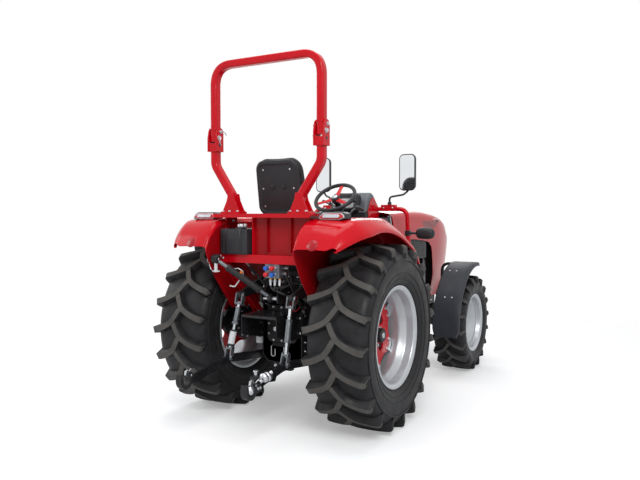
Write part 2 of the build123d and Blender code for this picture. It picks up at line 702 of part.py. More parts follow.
# Lower links with their hook ends
LINK_END = (LINK_Y + LINK_END_DY, LINK_Z + LINK_END_DZ)
with BuildPart() as lower_links:
    for sign in (-1, 1):
        link_low = sign * LINK_X - LINK / 2
        with BuildSketch(Plane.YZ.offset(link_low)):
            with BuildLine():
                Polyline(
                    (LINK_Y, LINK_Z + 30),
                    (ROD_END[0], ROD_END[1] + 22),
                    (LINK_END[0] + 60, LINK_END[1] + 30),
                    (LINK_END[0] + 60, LINK_END[1] - 30),
                    (ROD_END[0], ROD_END[1] - 32),
                    (LINK_Y, LINK_Z - 30),
                    close=True,
                )
            make_face()
            with Locations((LINK_Y, LINK_Z)):
                Circle(30)
                Circle(LINK_PIN_R + PIN_PLAY, mode=Mode.SUBTRACT)
        extrude(amount=LINK)
        hook_low = sign * (LINK_X + 22) - 22
        with BuildSketch(Plane.YZ.offset(hook_low)):
            with Locations(LINK_END):
                Circle(52)
                Circle(29, mode=Mode.SUBTRACT)
                with Locations((0, 40)):
                    Rectangle(58, 80, mode=Mode.SUBTRACT)
            with Locations((LINK_END[0] + 60, LINK_END[1])):
                Rectangle(60, 44)
        extrude(amount=44)
lower_links.part.label = "lower_links"
export_step(lower_links.part, "parts/lower_links.step")

# Top link, swung up and stowed to the left
TOP_LINK_START = (0.0, CASE_REAR - 130, LIFT_TOP - 130)
TOP_LINK_END = (-300.0, REAR_AXLE_Y - 510, 1085.0)
with BuildPart() as top_link:
    rod_between((-8, TOP_LINK_START[1] - 8, TOP_LINK_START[2] + 12), TOP_LINK_END, 23)
    cross_cylinder(-58, 58, TOP_LINK_START[1], TOP_LINK_START[2], 20)
    cross_cylinder(TOP_LINK_END[0] - 24, TOP_LINK_END[0] + 24, TOP_LINK_END[1], TOP_LINK_END[2], 31)
top_link.part.label = "top_link"
export_step(top_link.part, "parts/top_link.step")

# Deck between and ahead of the fenders, with its feet and steps
DECK_HALF = FENDER_IN - FIT
with BuildPart() as deck:
    box_between(
        (-DECK_HALF, DECK_REAR + 180, DECK_TOP - DECK_WALL), (DECK_HALF, DECK_FRONT, DECK_TOP)
    )
    box_between((-DECK_WIDE, DECK_STEP_Y, DECK_TOP - DECK_WALL), (DECK_WIDE, DECK_FRONT, DECK_TOP))
    box_between(
        (-100, REAR_AXLE_Y + 130, CASE_TOP), (100, REAR_AXLE_Y + 190, DECK_TOP - DECK_WALL + 1)
    )
    box_between(
        (-100, REAR_AXLE_Y + 700, GEARBOX_TOP), (100, REAR_AXLE_Y + 760, DECK_TOP - DECK_WALL + 1)
    )
    for sign in (-1, 1):
        hang_low = min(sign * (DECK_WIDE - 8), sign * DECK_WIDE)
        box_between(
            (hang_low, DECK_STEP_Y + 30, 470), (hang_low + 8, DECK_FRONT - 60, DECK_TOP - 5)
        )
        tread_low = min(sign * (DECK_WIDE - 8), sign * (DECK_WIDE + 130))
        box_between(
            (tread_low, DECK_STEP_Y + 30, 470), (tread_low + 138, DECK_FRONT - 60, 482)
        )
deck.part.label = "deck"
export_step(deck.part, "parts/deck.step")

# Cowl with the steering column
column_dir = Vector(
    0, -math.sin(math.radians(STEERING_TILT)), math.cos(math.radians(STEERING_TILT))
)
hub_point = Vector(*WHEEL_HUB)
column_top = hub_point - column_dir * 45
column_low = hub_point - column_dir * 330
with BuildPart() as dash_cowl:
    plate_across(
        -COWL_HALF,
        COWL_HALF,
        [
            (COWL_REAR, 1390),
            (COWL_REAR + 55, 1500),
            (COWL_REAR + 115, 1560),
            (COWL_FRONT, 1440),
            (COWL_FRONT, DECK_TOP),
            (COWL_REAR + 60, DECK_TOP),
            (COWL_REAR + 30, 1200),
        ],
    )
    rod_between(tuple(column_low), tuple(column_top), COLUMN_R)
    for sign in (-1, 1):
        ear_low = min(sign * HOOD_HINGE_X, sign * (HOOD_HINGE_X + 8))
        plate_across(
            ear_low,
            ear_low + 8,
            [
                (COWL_FRONT - 1, HOOD_HINGE_Z - 110),
                (COWL_FRONT - 1, HOOD_HINGE_Z - 75),
                (HOOD_HINGE_Y - 12, HOOD_HINGE_Z - 45),
                (HOOD_HINGE_Y - 12, HOOD_HINGE_Z + 8),
                (HOOD_HINGE_Y + 12, HOOD_HINGE_Z + 8),
                (HOOD_HINGE_Y + 12, HOOD_HINGE_Z - 65),
            ],
        )
        pin_low = min(sign * HOOD_HINGE_X, sign * (HOOD_HINGE_X + 26))
        cross_cylinder(pin_low, pin_low + 26, HOOD_HINGE_Y, HOOD_HINGE_Z, HOOD_PIN_R)
dash_cowl.part.label = "dash_cowl"
export_step(dash_cowl.part, "parts/dash_cowl.step")

# Steering wheel: rim, three spokes and hub
with BuildPart() as steering_wheel:
    rim_plane = Plane(origin=WHEEL_HUB, x_dir=(1, 0, 0), z_dir=column_dir)
    with BuildSketch(rim_plane.rotated((90, 0, 0))):
        with Locations((STEERING_R - STEERING_RIM_R, 0)):
            Circle(STEERING_RIM_R)
    revolve(axis=Axis(hub_point, column_dir))
    with BuildSketch(rim_plane.offset(-10)):
        with PolarLocations((STEERING_R - STEERING_RIM_R) / 2, 3, start_angle=90):
            Rectangle(STEERING_R - STEERING_RIM_R, 24)
    extrude(amount=10)
    with BuildSketch(rim_plane.offset(-45 + FIT)):
        Circle(34)
    extrude(amount=60)
steering_wheel.part.label = "steering_wheel"
export_step(steering_wheel.part, "parts/steering_wheel.step")

# Instrument panel on the cowl, behind the wheel's far edge
with BuildPart() as instrument_panel:
    plate_across(
        -110,
        110,
        [
            (COWL_REAR - 70, 1400),
            (COWL_REAR - 50, 1505),
            (COWL_REAR - 10, 1540),
            (COWL_REAR + 55 - FIT, 1500),
            (COWL_REAR - FIT, 1390),
        ],
    )
    cut_end = hub_point - column_dir * 330
    rod_cut = Plane(origin=tuple(cut_end), z_dir=column_dir)
    with BuildSketch(rod_cut):
        Circle(COLUMN_R + FIT)
    extrude(amount=290, mode=Mode.SUBTRACT)
instrument_panel.part.label = "instrument_panel"
export_step(instrument_panel.part, "parts/instrument_panel.step")

# Seat frame: suspension box, pan and back shell
back_dir = Vector(0, -math.sin(math.radians(BACK_LEAN)), math.cos(math.radians(BACK_LEAN)))
SHELL = 22.0
BACK_CUSHION = 70.0
shell_plane = Plane(
    origin=(0, SEAT_REAR, SEAT_PAN_Z + SEAT_PAN), x_dir=(1, 0, 0), z_dir=(0, -back_dir.Z, back_dir.Y)
)
with BuildPart() as seat_frame:
    box_between(
        (-SEAT_BASE_HALF, SEAT_REAR + 20, LIFT_TOP), (SEAT_BASE_HALF, SEAT_FRONT - 40, SEAT_PAN_Z + 1)
    )
    box_between(
        (-SEAT_BASE_HALF - 50, SEAT_REAR - 20, SEAT_PAN_Z), (SEAT_BASE_HALF + 50, SEAT_FRONT, SEAT_PAN_Z + SEAT_PAN)
    )
    with BuildSketch(shell_plane):
        with Locations((0, (CUSHION + BACK_HEIGHT) / 2 - 10)):
            Rectangle(2 * BACK_HALF - 50, CUSHION + BACK_HEIGHT - 20)
    extrude(amount=SHELL)
seat_frame.part.label = "seat_frame"
export_step(seat_frame.part, "parts/seat_frame.step")

with BuildPart() as seat_cushion:
    cushion_rear = SEAT_REAR + BACK_CUSHION + 5
    box_between(
        (-CUSHION_HALF, cushion_rear, SEAT_PAN_Z + SEAT_PAN + FIT),
        (CUSHION_HALF, SEAT_FRONT + 60, SEAT_PAN_Z + SEAT_PAN + CUSHION),
    )
    fillet(seat_cushion.edges(), 24)
seat_cushion.part.label = "seat_cushion"
export_step(seat_cushion.part, "parts/seat_cushion.step")

with BuildPart() as seat_back:
    with BuildSketch(shell_plane.offset(-FIT)):
        with Locations((0, CUSHION + BACK_HEIGHT / 2)):
            Rectangle(2 * BACK_HALF, BACK_HEIGHT)
    extrude(amount=-BACK_CUSHION)
    fillet(seat_back.edges(), 24)
seat_back.part.label = "seat_back"
export_step(seat_back.part, "parts/seat_back.step")

# Rear fenders: arched top skin, outer lip and inner wall
FENDER_POINTS = [
    (-FENDER_REAR_DY, FENDER_REAR_Z),
    (-470, 1285),
    (-405, FENDER_TOP),
    (60, FENDER_TOP),
    (330, 1230),
    (520, 1080),
    (FENDER_FRONT_DY, DECK_TOP),
]
for side, sign in SIDES:
    skin_low = min(sign * FENDER_IN, sign * FENDER_OUT)
    outer = [(REAR_AXLE_Y + dy, z) for dy, z in FENDER_POINTS]
    with BuildPart() as rear_fender:
        with BuildSketch(Plane.YZ.offset(skin_low)):
            with BuildLine():
                Polyline(*outer)
                offset(amount=-FENDER_WALL, side=Side.RIGHT)
            make_face()
        extrude(amount=FENDER_OUT - FENDER_IN)
        wall_low = min(sign * FENDER_IN, sign * (FENDER_IN + FENDER_WALL))
        inner_wall = [(y, z - 2) for y, z in outer] + [
            (REAR_AXLE_Y + 560, DECK_TOP - 20),
            (REAR_AXLE_Y + 300, 740),
            (REAR_AXLE_Y - 300, 740),
            (REAR_AXLE_Y - 480, 960),
        ]
        plate_across(wall_low, wall_low + FENDER_WALL, inner_wall)
    rear_fender.part.label = f"rear_fender_{side}"
    export_step(rear_fender.part, f"parts/rear_fender_{side}.step")

# Frame above the axle that carries the roll bar
STRUT = 42.0
taper_share = (FRAME_HALF - STRUT - CASE_HALF - TRUMPET_ROOT) / (
    TRUMPET_END - TRUMPET_FLANGE - CASE_HALF - TRUMPET_ROOT
)
STRUT_SEAT = TRUMPET_R - taper_share * (TRUMPET_R - TRUMPET_NECK_R) + FIT
with BuildPart() as rear_frame:
    box_between((-PLATE_HALF, PLATE_REAR, PLATE_Z), (PLATE_HALF, PLATE_FRONT, PLATE_Z + PLATE))
    box_between((-FRAME_HALF, FRAME_Y - 25, BEAM_BOTTOM), (FRAME_HALF, FRAME_Y + 25, BEAM_TOP))
    box_between((-90, FRAME_Y + 20, BEAM_TOP - 5), (FRAME_HALF, FRAME_Y + 25, PLATE_Z + 1))
    for sign in (-1, 1):
        post_low = min(sign * (FRAME_HALF - 12), sign * FRAME_HALF)
        box_between((post_low, FRAME_Y + 25, BEAM_BOTTOM), (post_low + 12, PLATE_FRONT, PLATE_Z + 1))
        strut_low = min(sign * (FRAME_HALF - STRUT), sign * FRAME_HALF)
        plate_across(
            strut_low,
            strut_low + STRUT,
            [
                (FRAME_Y - 25, BEAM_BOTTOM + 5),
                (FRAME_Y + 25, BEAM_BOTTOM + 5),
                (REAR_AXLE_Y + 20, REAR_TYRE_R + STRUT_SEAT),
                (REAR_AXLE_Y - 50, REAR_TYRE_R + STRUT_SEAT),
            ],
        )
rear_frame.part.label = "rear_frame"
export_step(rear_frame.part, "parts/rear_frame.step")

# Roll bar: fixed lower posts with the hinge brackets
LOWER_TOP = HINGE_Z - 35
with BuildPart() as rops_lower:
    for sign in (-1, 1):
        foot_z = PLATE_Z + PLATE
        path_points = [
            (sign * BAR_FOOT_X, BAR_Y, foot_z),
            (sign * BAR_FOOT_X, BAR_Y, foot_z + 110),
            (sign * BAR_X, BAR_Y, 1700),
            (sign * BAR_X, BAR_Y, LOWER_TOP),
        ]
        with BuildLine():
            post_path = FilletPolyline(*path_points, radius=90)
        with BuildSketch(Plane(origin=path_points[0], x_dir=(1, 0, 0), z_dir=(0, 0, 1))):
            RectangleRounded(BAR_WIDE, BAR_DEEP, 14)
        sweep(path=post_path)
        box_between(
            (sign * BAR_FOOT_X - 70, BAR_Y - 50, foot_z), (sign * BAR_FOOT_X + 70, BAR_Y + 50, foot_z + 12)
        )
        collar_x = sign * BAR_X
        inner_face = BAR_WIDE / 2 + 2
        box_between(
            (collar_x - inner_face - HINGE_PLATE, BAR_Y - 40, HINGE_Z - 90),
            (collar_x + inner_face + HINGE_PLATE, BAR_Y + 36, LOWER_TOP),
        )
        for ear in (-1, 1):
            ear_low = min(
                collar_x + ear * inner_face, collar_x + ear * (inner_face + HINGE_PLATE)
            )
            box_between(
                (ear_low, BAR_Y - 44, HINGE_Z - 90), (ear_low + HINGE_PLATE, BAR_Y + 36, HINGE_Z + 70)
            )
        cross_cylinder(
            collar_x - inner_face - 2, collar_x + inner_face + 2, BAR_Y - HINGE_BACK, HINGE_Z, 9
        )
rops_lower.part.label = "rops_lower"
export_step(rops_lower.part, "parts/rops_lower.step")

# Roll bar: the hoop that folds back
UPPER_LOW = HINGE_Z - 25
with BuildPart() as rops_upper:
    hoop_points = [
        (-BAR_X, BAR_Y, UPPER_LOW),
        (-BAR_X, BAR_Y, BAR_TOP),
        (BAR_X, BAR_Y, BAR_TOP),
        (BAR_X, BAR_Y, UPPER_LOW),
    ]
    with BuildLine():
        hoop = FilletPolyline(*hoop_points, radius=BAR_CORNER)
    with BuildSketch(Plane(origin=hoop_points[0], x_dir=(1, 0, 0), z_dir=(0, 0, 1))):
        RectangleRounded(BAR_WIDE, BAR_DEEP, 14)
    sweep(path=hoop)
    cross_cylinder(
        -BAR_X - 40, BAR_X + 40, BAR_Y - HINGE_BACK, HINGE_Z, 9 + PIN_PLAY, Mode.SUBTRACT
    )
    with Locations((0, BAR_Y, UPPER_LOW)):
        Box(2 * BAR_X + 80, 2, 2, mode=Mode.SUBTRACT)
rops_upper.part.label = "rops_upper"
export_step(rops_upper.part, "parts/rops_upper.step")

# Fuel tank with its filler cap
with BuildPart() as fuel_tank:
    box_between((-FRAME_HALF + 14, PLATE_REAR, BEAM_TOP), (-100, FRAME_Y + 130, BEAM_TOP + 165))
    with BuildSketch(Plane.XY.offset(BEAM_TOP + 164)):
        with Locations((-160, FRAME_Y - 10)):
            Circle(32)
    extrude(amount=34)
fuel_tank.part.label = "fuel_tank"
export_step(fuel_tank.part, "parts/fuel_tank.step")

# Remote hydraulic valves under the frame's beam
with BuildPart() as remote_valves:
    box_between((20, FRAME_Y - 20, BEAM_BOTTOM - 90), (130, FRAME_Y + 60, BEAM_BOTTOM))
    with BuildSketch(Plane.XZ.offset(-(FRAME_Y - 19))):
        with GridLocations(46, 40, 2, 2):
            with Locations((75, BEAM_BOTTOM - 45)):
                Circle(15)
    extrude(amount=50)
remote_valves.part.label = "remote_valves"
export_step(remote_valves.part, "parts/remote_valves.step")

# Tail lamps on the fenders
with BuildPart() as tail_lamps:
    for sign in (-1, 1):
        box_between(
            (sign * 490 - 95, REAR_AXLE_Y - 400, FENDER_TOP), (sign * 490 + 95, REAR_AXLE_Y - 310, FENDER_TOP + 55)
        )
tail_lamps.part.label = "tail_lamps"
export_step(tail_lamps.part, "parts/tail_lamps.step")

# Handrails with the mirror blocks
with BuildPart() as handrails:
    for sign in (-1, 1):
        rail_points = [
            (sign * (COWL_HALF + FIT), COWL_FRONT - RAIL_TUBE_R - 2, RAIL_TOP_Z - 20),
            (sign * RAIL_X, COWL_FRONT - RAIL_TUBE_R - 2, RAIL_TOP_Z - 20),
            (sign * RAIL_X, DECK_FRONT + RAIL_TUBE_R + FIT, DECK_TOP),
            (sign * RAIL_X, DECK_FRONT + RAIL_TUBE_R + FIT, DECK_TOP - 90),
        ]
        with BuildLine():
            rail_path = FilletPolyline(*rail_points, radius=(60, 200))
        with BuildSketch(Plane(origin=rail_path @ 0, z_dir=rail_path % 0)):
            Circle(RAIL_TUBE_R)
        sweep(path=rail_path)
        block_low = min(sign * 205, sign * 325)
        box_between(
            (block_low, COWL_FRONT - 45, RAIL_TOP_Z - 20), (block_low + 120, COWL_FRONT + 5, RAIL_TOP_Z + 15)
        )
handrails.part.label = "handrails"
export_step(handrails.part, "parts/handrails.step")

# Mirrors on bent stalks
with BuildPart() as mirrors:
    for sign in (-1, 1):
        stalk_points = [
            (sign * 270, COWL_FRONT - 20, RAIL_TOP_Z + 15),
            (sign * 270, COWL_FRONT - 20, RAIL_TOP_Z + 70),
            (sign * 360, COWL_FRONT + 60, RAIL_TOP_Z + 90),
            (sign * MIRROR_X, COWL_FRONT + 70, MIRROR_Z - 140),
        ]
        with BuildLine():
            stalk = FilletPolyline(*stalk_points, radius=24)
        with BuildSketch(Plane(origin=stalk @ 0, z_dir=stalk % 0)):
            Circle(8)
        sweep(path=stalk)
        box_between(
            (sign * MIRROR_X - 70, COWL_FRONT + 58, MIRROR_Z - 147),
            (sign * MIRROR_X + 70, COWL_FRONT + 82, MIRROR_Z + 147),
        )
mirrors.part.label = "mirrors"
export_step(mirrors.part, "parts/mirrors.step")

# Turn lamps outboard of the handrails
TURN_LAMP_Z = 1225.0
rail_high_y = COWL_FRONT - RAIL_TUBE_R - 2
rail_low_y = DECK_FRONT + RAIL_TUBE_R + FIT
rail_share = (RAIL_TOP_Z - 20 - TURN_LAMP_Z) / (RAIL_TOP_Z - 20 - DECK_TOP)
turn_lamp_y = rail_high_y + rail_share * (rail_low_y - rail_high_y)
with BuildPart() as turn_lamps:
    for sign in (-1, 1):
        lamp_low = min(sign * (RAIL_X + RAIL_TUBE_R + FIT), sign * 500)
        lamp_high = max(sign * (RAIL_X + RAIL_TUBE_R + FIT), sign * 500)
        cross_cylinder(lamp_low, lamp_high, turn_lamp_y, TURN_LAMP_Z, 9)
        box_between(
            (sign * 565 - 75, turn_lamp_y - 38, TURN_LAMP_Z - 46),
            (sign * 565 + 75, turn_lamp_y + 38, TURN_LAMP_Z + 46),
        )
turn_lamps.part.label = "turn_lamps"
export_step(turn_lamps.part, "parts/turn_lamps.step")

# Pedals and levers
LEVER_Y = REAR_AXLE_Y + 180
with BuildPart() as controls:
    for x in (-230, 210, 270):
        box_between((x - 35, COWL_REAR - 60, DECK_TOP + 90), (x + 35, COWL_REAR - 45, DECK_TOP + 150))
        rod_between((x, COWL_REAR - 47, DECK_TOP + FIT), (x, COWL_REAR - 47, DECK_TOP + 110), 9)
    for x in (235, 265):
        rod_between((x, LEVER_Y, DECK_TOP + FIT), (x, LEVER_Y, DECK_TOP + 520), 8)
controls.part.label = "controls"
export_step(controls.part, "parts/controls.step")

# Hood shell: top and sides, open below and behind
HOOD_ROUND = 55.0


def hood_form(inset, reach):
    """The hood's outer form, or its hollow with an inset; reach runs past its open sides."""
    stations = [
        (HOOD_REAR - reach, HOOD_TOP - 14, HOOD_HALF),
        (HOOD_REAR + 500, HOOD_TOP, HOOD_HALF),
        (HOOD_REAR + 1000, HOOD_TOP - 28, HOOD_HALF),
        (HOOD_NOSE - 90 - inset, HOOD_TOP - 96, HOOD_HALF - 12),
        (HOOD_NOSE - inset, HOOD_TOP - 180, HOOD_HALF - 45),
    ]
    with BuildPart() as form:
        for y, top, half in stations:
            low = HOOD_SIDE_Z - reach
            with BuildSketch(Plane.XZ.offset(-y)) as station:
                with Locations((0, (top - inset + low) / 2)):
                    Rectangle(2 * (half - inset), top - inset - low)
                fillet(station.vertices().group_by(Axis.Y)[-1], HOOD_ROUND - inset)
        loft(ruled=True)
    return form.part


with BuildPart() as hood_shell:
    add(hood_form(0, 0))
    add(hood_form(HOOD_WALL, 20), mode=Mode.SUBTRACT)
    for sign in (-1, 1):
        ear_low = min(sign * (HOOD_HINGE_X + 12), sign * (HOOD_HINGE_X + 20))
        box_between(
            (ear_low, HOOD_HINGE_Y - 12, HOOD_HINGE_Z - 13),
            (ear_low + 8, HOOD_HINGE_Y + 12, HOOD_TOP - 14 - HOOD_WALL / 2),
        )
    cross_cylinder(
        -HOOD_HINGE_X - 30, HOOD_HINGE_X + 30, HOOD_HINGE_Y, HOOD_HINGE_Z, HOOD_PIN_R + PIN_PLAY, Mode.SUBTRACT
    )
hood_shell.part.label = "hood_shell"
export_step(hood_shell.part, "parts/hood_shell.step")

# Grille surround below the nose
with BuildPart() as hood_grille:
    box_between(
        (-GRILLE_HALF, HOOD_NOSE - 60, GRILLE_BOTTOM), (GRILLE_HALF, HOOD_NOSE - 30, HOOD_SIDE_Z)
    )
    for sign in (-1, 1):
        leg_low = min(sign * (GRILLE_HALF - 10), sign * GRILLE_HALF)
        box_between(
            (leg_low, HOOD_NOSE - 330, GRILLE_BOTTOM), (leg_low + 10, HOOD_NOSE - 30, HOOD_SIDE_Z)
        )
    for sign in (-1, 1):
        ledge_low = min(sign * (GRILLE_HALF - 10), sign * HOOD_HALF)
        box_between(
            (ledge_low, HOOD_NOSE - 330, HOOD_SIDE_Z - 10),
            (ledge_low + HOOD_HALF - GRILLE_HALF + 10, HOOD_NOSE - 30, HOOD_SIDE_Z),
        )
hood_grille.part.label = "hood_grille"
export_step(hood_grille.part, "parts/hood_grille.step")
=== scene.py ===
from math import acos, atan2, copysign, cos, degrees, exp, pi, radians, sin, tan

import bmesh
import bpy
from mathutils import Matrix, Vector


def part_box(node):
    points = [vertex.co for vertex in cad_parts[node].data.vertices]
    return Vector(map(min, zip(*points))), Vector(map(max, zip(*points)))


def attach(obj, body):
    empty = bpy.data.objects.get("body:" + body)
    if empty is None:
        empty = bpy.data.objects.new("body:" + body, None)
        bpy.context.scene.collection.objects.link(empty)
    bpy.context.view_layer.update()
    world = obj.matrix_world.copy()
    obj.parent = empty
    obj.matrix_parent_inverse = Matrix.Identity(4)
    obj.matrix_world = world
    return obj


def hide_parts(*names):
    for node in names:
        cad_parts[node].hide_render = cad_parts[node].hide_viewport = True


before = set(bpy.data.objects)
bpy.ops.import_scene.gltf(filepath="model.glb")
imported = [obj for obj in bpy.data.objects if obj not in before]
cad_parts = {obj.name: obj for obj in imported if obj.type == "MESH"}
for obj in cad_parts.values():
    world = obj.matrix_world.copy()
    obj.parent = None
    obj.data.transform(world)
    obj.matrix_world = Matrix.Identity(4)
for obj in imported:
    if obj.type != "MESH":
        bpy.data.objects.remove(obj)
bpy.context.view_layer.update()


# Places taken from the frame, in metres
def middle(node):
    """The centre of a CAD node's box."""
    low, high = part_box(node)
    return (low + high) / 2


REAR = middle("rear_tyre_right")
FRONT = middle("front_tyre_right")
REAR_Y, REAR_R = REAR.y, REAR.z
FRONT_X, FRONT_Y, FRONT_R = FRONT
SIDES = (("left", -1), ("right", 1))

# Steering: kingpins, and the rod with the arms' ends on it
KINGPIN_X = FRONT_X - 0.180
STEER_ARM_X, ROD_Y, ROD_Z = FRONT_X - 0.210, FRONT_Y - 0.150, FRONT_R + 0.020

# Hitch: half widths, and (y, z) of its pins from the rear axle
ARM_X, LINK_X, BALL_X, OUTPUT_Z = 0.199, 0.215, 0.237, 0.620
ARM_PIVOT, ARM_END = (-0.120, 0.905), (-0.380, 0.845)
LINK_PIVOT, LINK_PIN = (-0.050, 0.400), (-0.490, 0.450)

# Half widths of small parts, and the thickness of pressed sheet
POST_X, TAIL_LAMP_X, TURN_LAMP_X, MIRROR_X, SHEET = 0.262, 0.490, 0.565, 0.385, 0.004
CRANK_Z, FAN_Z = 0.605, 0.880


# Materials
def new_material(name):
    """An empty node material with its Principled shader and output."""
    made = bpy.data.materials.new(name)
    made.use_nodes = True
    tree = made.node_tree
    tree.nodes.clear()
    shader = tree.nodes.new("ShaderNodeBsdfPrincipled")
    out = tree.nodes.new("ShaderNodeOutputMaterial")
    tree.links.new(shader.outputs["BSDF"], out.inputs["Surface"])
    return made, tree, shader


def add_noise(tree, scale, detail=4.0, roughness=0.55):
    """Noise on object coordinates, which are metres in the row frame."""
    where = tree.nodes.new("ShaderNodeTexCoord")
    noise = tree.nodes.new("ShaderNodeTexNoise")
    noise.inputs["Scale"].default_value = scale
    noise.inputs["Detail"].default_value = detail
    noise.inputs["Roughness"].default_value = roughness
    tree.links.new(where.outputs["Object"], noise.inputs["Vector"])
    return noise


def between(tree, source, low, high, start=0.3, end=0.7):
    """Maps a noise to a range of values."""
    span = tree.nodes.new("ShaderNodeMapRange")
    span.inputs["From Min"].default_value = start
    span.inputs["From Max"].default_value = end
    span.inputs["To Min"].default_value = low
    span.inputs["To Max"].default_value = high
    tree.links.new(source, span.inputs["Value"])
    return span.outputs["Result"]


def blend_colours(tree, share, first, second):
    """Mixes two colours by a share."""
    mix = tree.nodes.new("ShaderNodeMix")
    mix.data_type = "RGBA"
    mix.inputs["A"].default_value = (*first, 1)
    mix.inputs["B"].default_value = (*second, 1)
    tree.links.new(share, mix.inputs["Factor"])
    return mix.outputs["Result"]


def add_bump(tree, shader, heights, strength=0.3, distance=0.001):
    """Bumps the surface by one or more noises, one after another."""
    normal = None
    for height in heights:
        bump = tree.nodes.new("ShaderNodeBump")
        bump.inputs["Strength"].default_value = strength
        bump.inputs["Distance"].default_value = distance
        tree.links.new(height, bump.inputs["Height"])
        if normal is not None:
            tree.links.new(normal, bump.inputs["Normal"])
        normal = bump.outputs["Normal"]
    tree.links.new(normal, shader.inputs["Normal"])


def surface(name, colour, other, rough=(0.3, 0.45), metal=0.0, coat=0.0, patch=9.0, grain=400.0,
            bump=0.15, depth=0.0006, gloss=0.5):
    """A material whose colour, roughness and fine relief vary over the surface."""
    made, tree, shader = new_material(name)
    patches = add_noise(tree, patch)
    fine = add_noise(tree, grain, detail=3.0)
    share = between(tree, patches.outputs["Fac"], 0.0, 1.0)
    tree.links.new(blend_colours(tree, share, colour, other), shader.inputs["Base Color"])
    tree.links.new(between(tree, patches.outputs["Fac"], *rough), shader.inputs["Roughness"])
    shader.inputs["Metallic"].default_value = metal
    shader.inputs["Coat Weight"].default_value = coat
    shader.inputs["Coat Roughness"].default_value = 0.06
    shader.inputs["Specular IOR Level"].default_value = gloss
    add_bump(tree, shader, [fine.outputs["Fac"]], bump, depth)
    return made


def rubber(name, colour, dusty, dust_height=0.35):
    """Tyre rubber with faint dust and moulding marks."""
    made, tree, shader = new_material(name)
    patches = add_noise(tree, 14.0)
    speckle = add_noise(tree, 260.0, detail=5.0, roughness=0.7)
    share = between(tree, patches.outputs["Fac"], 0.0, 1.0, 0.35, 0.75)
    tree.links.new(blend_colours(tree, share, colour, dusty), shader.inputs["Base Color"])
    tree.links.new(between(tree, patches.outputs["Fac"], dust_height, dust_height + 0.25), shader.inputs["Roughness"])
    shader.inputs["Specular IOR Level"].default_value = 0.2
    add_bump(tree, shader, [speckle.outputs["Fac"], patches.outputs["Fac"]], 0.22, 0.0012)
    return made


RED = surface("red_paint", (0.60, 0.003, 0.012), (0.54, 0.002, 0.009), (0.14, 0.2), coat=0.10, grain=900, bump=0.04,
              gloss=0.17)
# A darker copy of the red paint: painted shade for red faces that sit in shadow, not a second paint
SHADED_RED = surface("shaded_red_paint", (0.36, 0.003, 0.006), (0.30, 0.002, 0.005), (0.25, 0.35), coat=0.05, bump=0.05,
                   gloss=0.2)
BLACK = surface("black_paint", (0.010, 0.010, 0.011), (0.016, 0.016, 0.018), (0.22, 0.34), coat=0.1, bump=0.08,
                gloss=0.3)
CAST = surface("cast_black", (0.012, 0.012, 0.013), (0.022, 0.022, 0.024), (0.42, 0.6), grain=260, bump=0.5,
               depth=0.0015, gloss=0.3)
SATIN = surface("fender_black", (0.036, 0.040, 0.048), (0.028, 0.031, 0.038), (0.42, 0.5), grain=700, bump=0.12,
                gloss=0.2)
PLASTIC = surface("black_plastic", (0.022, 0.023, 0.026), (0.030, 0.031, 0.034), (0.4, 0.5), grain=1100, bump=0.3,
                  gloss=0.25)
GREY = surface("grey_plastic", (0.10, 0.11, 0.125), (0.08, 0.088, 0.10), (0.42, 0.55), grain=1200, bump=0.25)
SILVER = surface("silver_paint", (0.52, 0.54, 0.56), (0.45, 0.47, 0.49), (0.28, 0.38), metal=0.55, coat=0.2,
                 bump=0.05)
STEEL = surface("zinc_steel", (0.62, 0.64, 0.66), (0.45, 0.47, 0.50), (0.22, 0.38), metal=1.0, patch=40, bump=0.12)
DULL = surface("grey_steel", (0.20, 0.215, 0.23), (0.14, 0.15, 0.165), (0.35, 0.5), metal=0.7, patch=30, bump=0.2)
HOSE = surface("hose_black", (0.014, 0.014, 0.015), (0.020, 0.020, 0.021), (0.45, 0.6), grain=900, bump=0.3)
BRASS = surface("brass_fitting", (0.62, 0.40, 0.15), (0.50, 0.30, 0.10), (0.25, 0.4), metal=1.0, patch=30)
CAP_RED = surface("cap_red", (0.70, 0.010, 0.020), (0.60, 0.008, 0.015), (0.3, 0.4), grain=600, bump=0.1)
CAP_BLUE = surface("cap_blue", (0.010, 0.13, 0.60), (0.008, 0.10, 0.50), (0.3, 0.4), grain=600, bump=0.1)
CAP_ORANGE = surface("cap_orange", (0.85, 0.22, 0.02), (0.75, 0.18, 0.01), (0.3, 0.4), grain=600, bump=0.1)
WHITE = surface("white_plastic", (0.72, 0.73, 0.74), (0.64, 0.65, 0.67), (0.3, 0.42), grain=800, bump=0.1)
REFLECTOR = surface("reflector_red", (0.42, 0.006, 0.014), (0.34, 0.005, 0.010), (0.2, 0.3), coat=0.1, grain=500,
                    bump=0.4, gloss=0.3)
LENS = surface("clear_lens", (0.62, 0.65, 0.70), (0.52, 0.55, 0.60), (0.08, 0.16), metal=0.3, coat=1.0, patch=60,
               grain=300, bump=0.3)
LAMP_RED = surface("lamp_red", (0.55, 0.004, 0.008), (0.42, 0.003, 0.006), (0.08, 0.16), coat=0.3, patch=50,
                   grain=260, bump=0.5)
MIRROR = surface("mirror_glass", (0.80, 0.82, 0.84), (0.76, 0.78, 0.80), (0.02, 0.04), metal=1.0, patch=6, grain=20,
                 bump=0.01)
VINYL = surface("seat_vinyl", (0.016, 0.016, 0.018), (0.026, 0.026, 0.029), (0.38, 0.5), patch=18, grain=1500,
                bump=0.55, depth=0.0008, gloss=0.2)
AMBER = surface("amber_lens", (0.50, 0.13, 0.01), (0.42, 0.10, 0.008), (0.1, 0.18), coat=1.0, patch=50, grain=240,
                bump=0.5)
TYRE = rubber("tyre_rubber", (0.013, 0.013, 0.014), (0.026, 0.026, 0.028))
LUG_TOP = rubber("lug_top", (0.090, 0.084, 0.077), (0.066, 0.062, 0.058), 0.55)


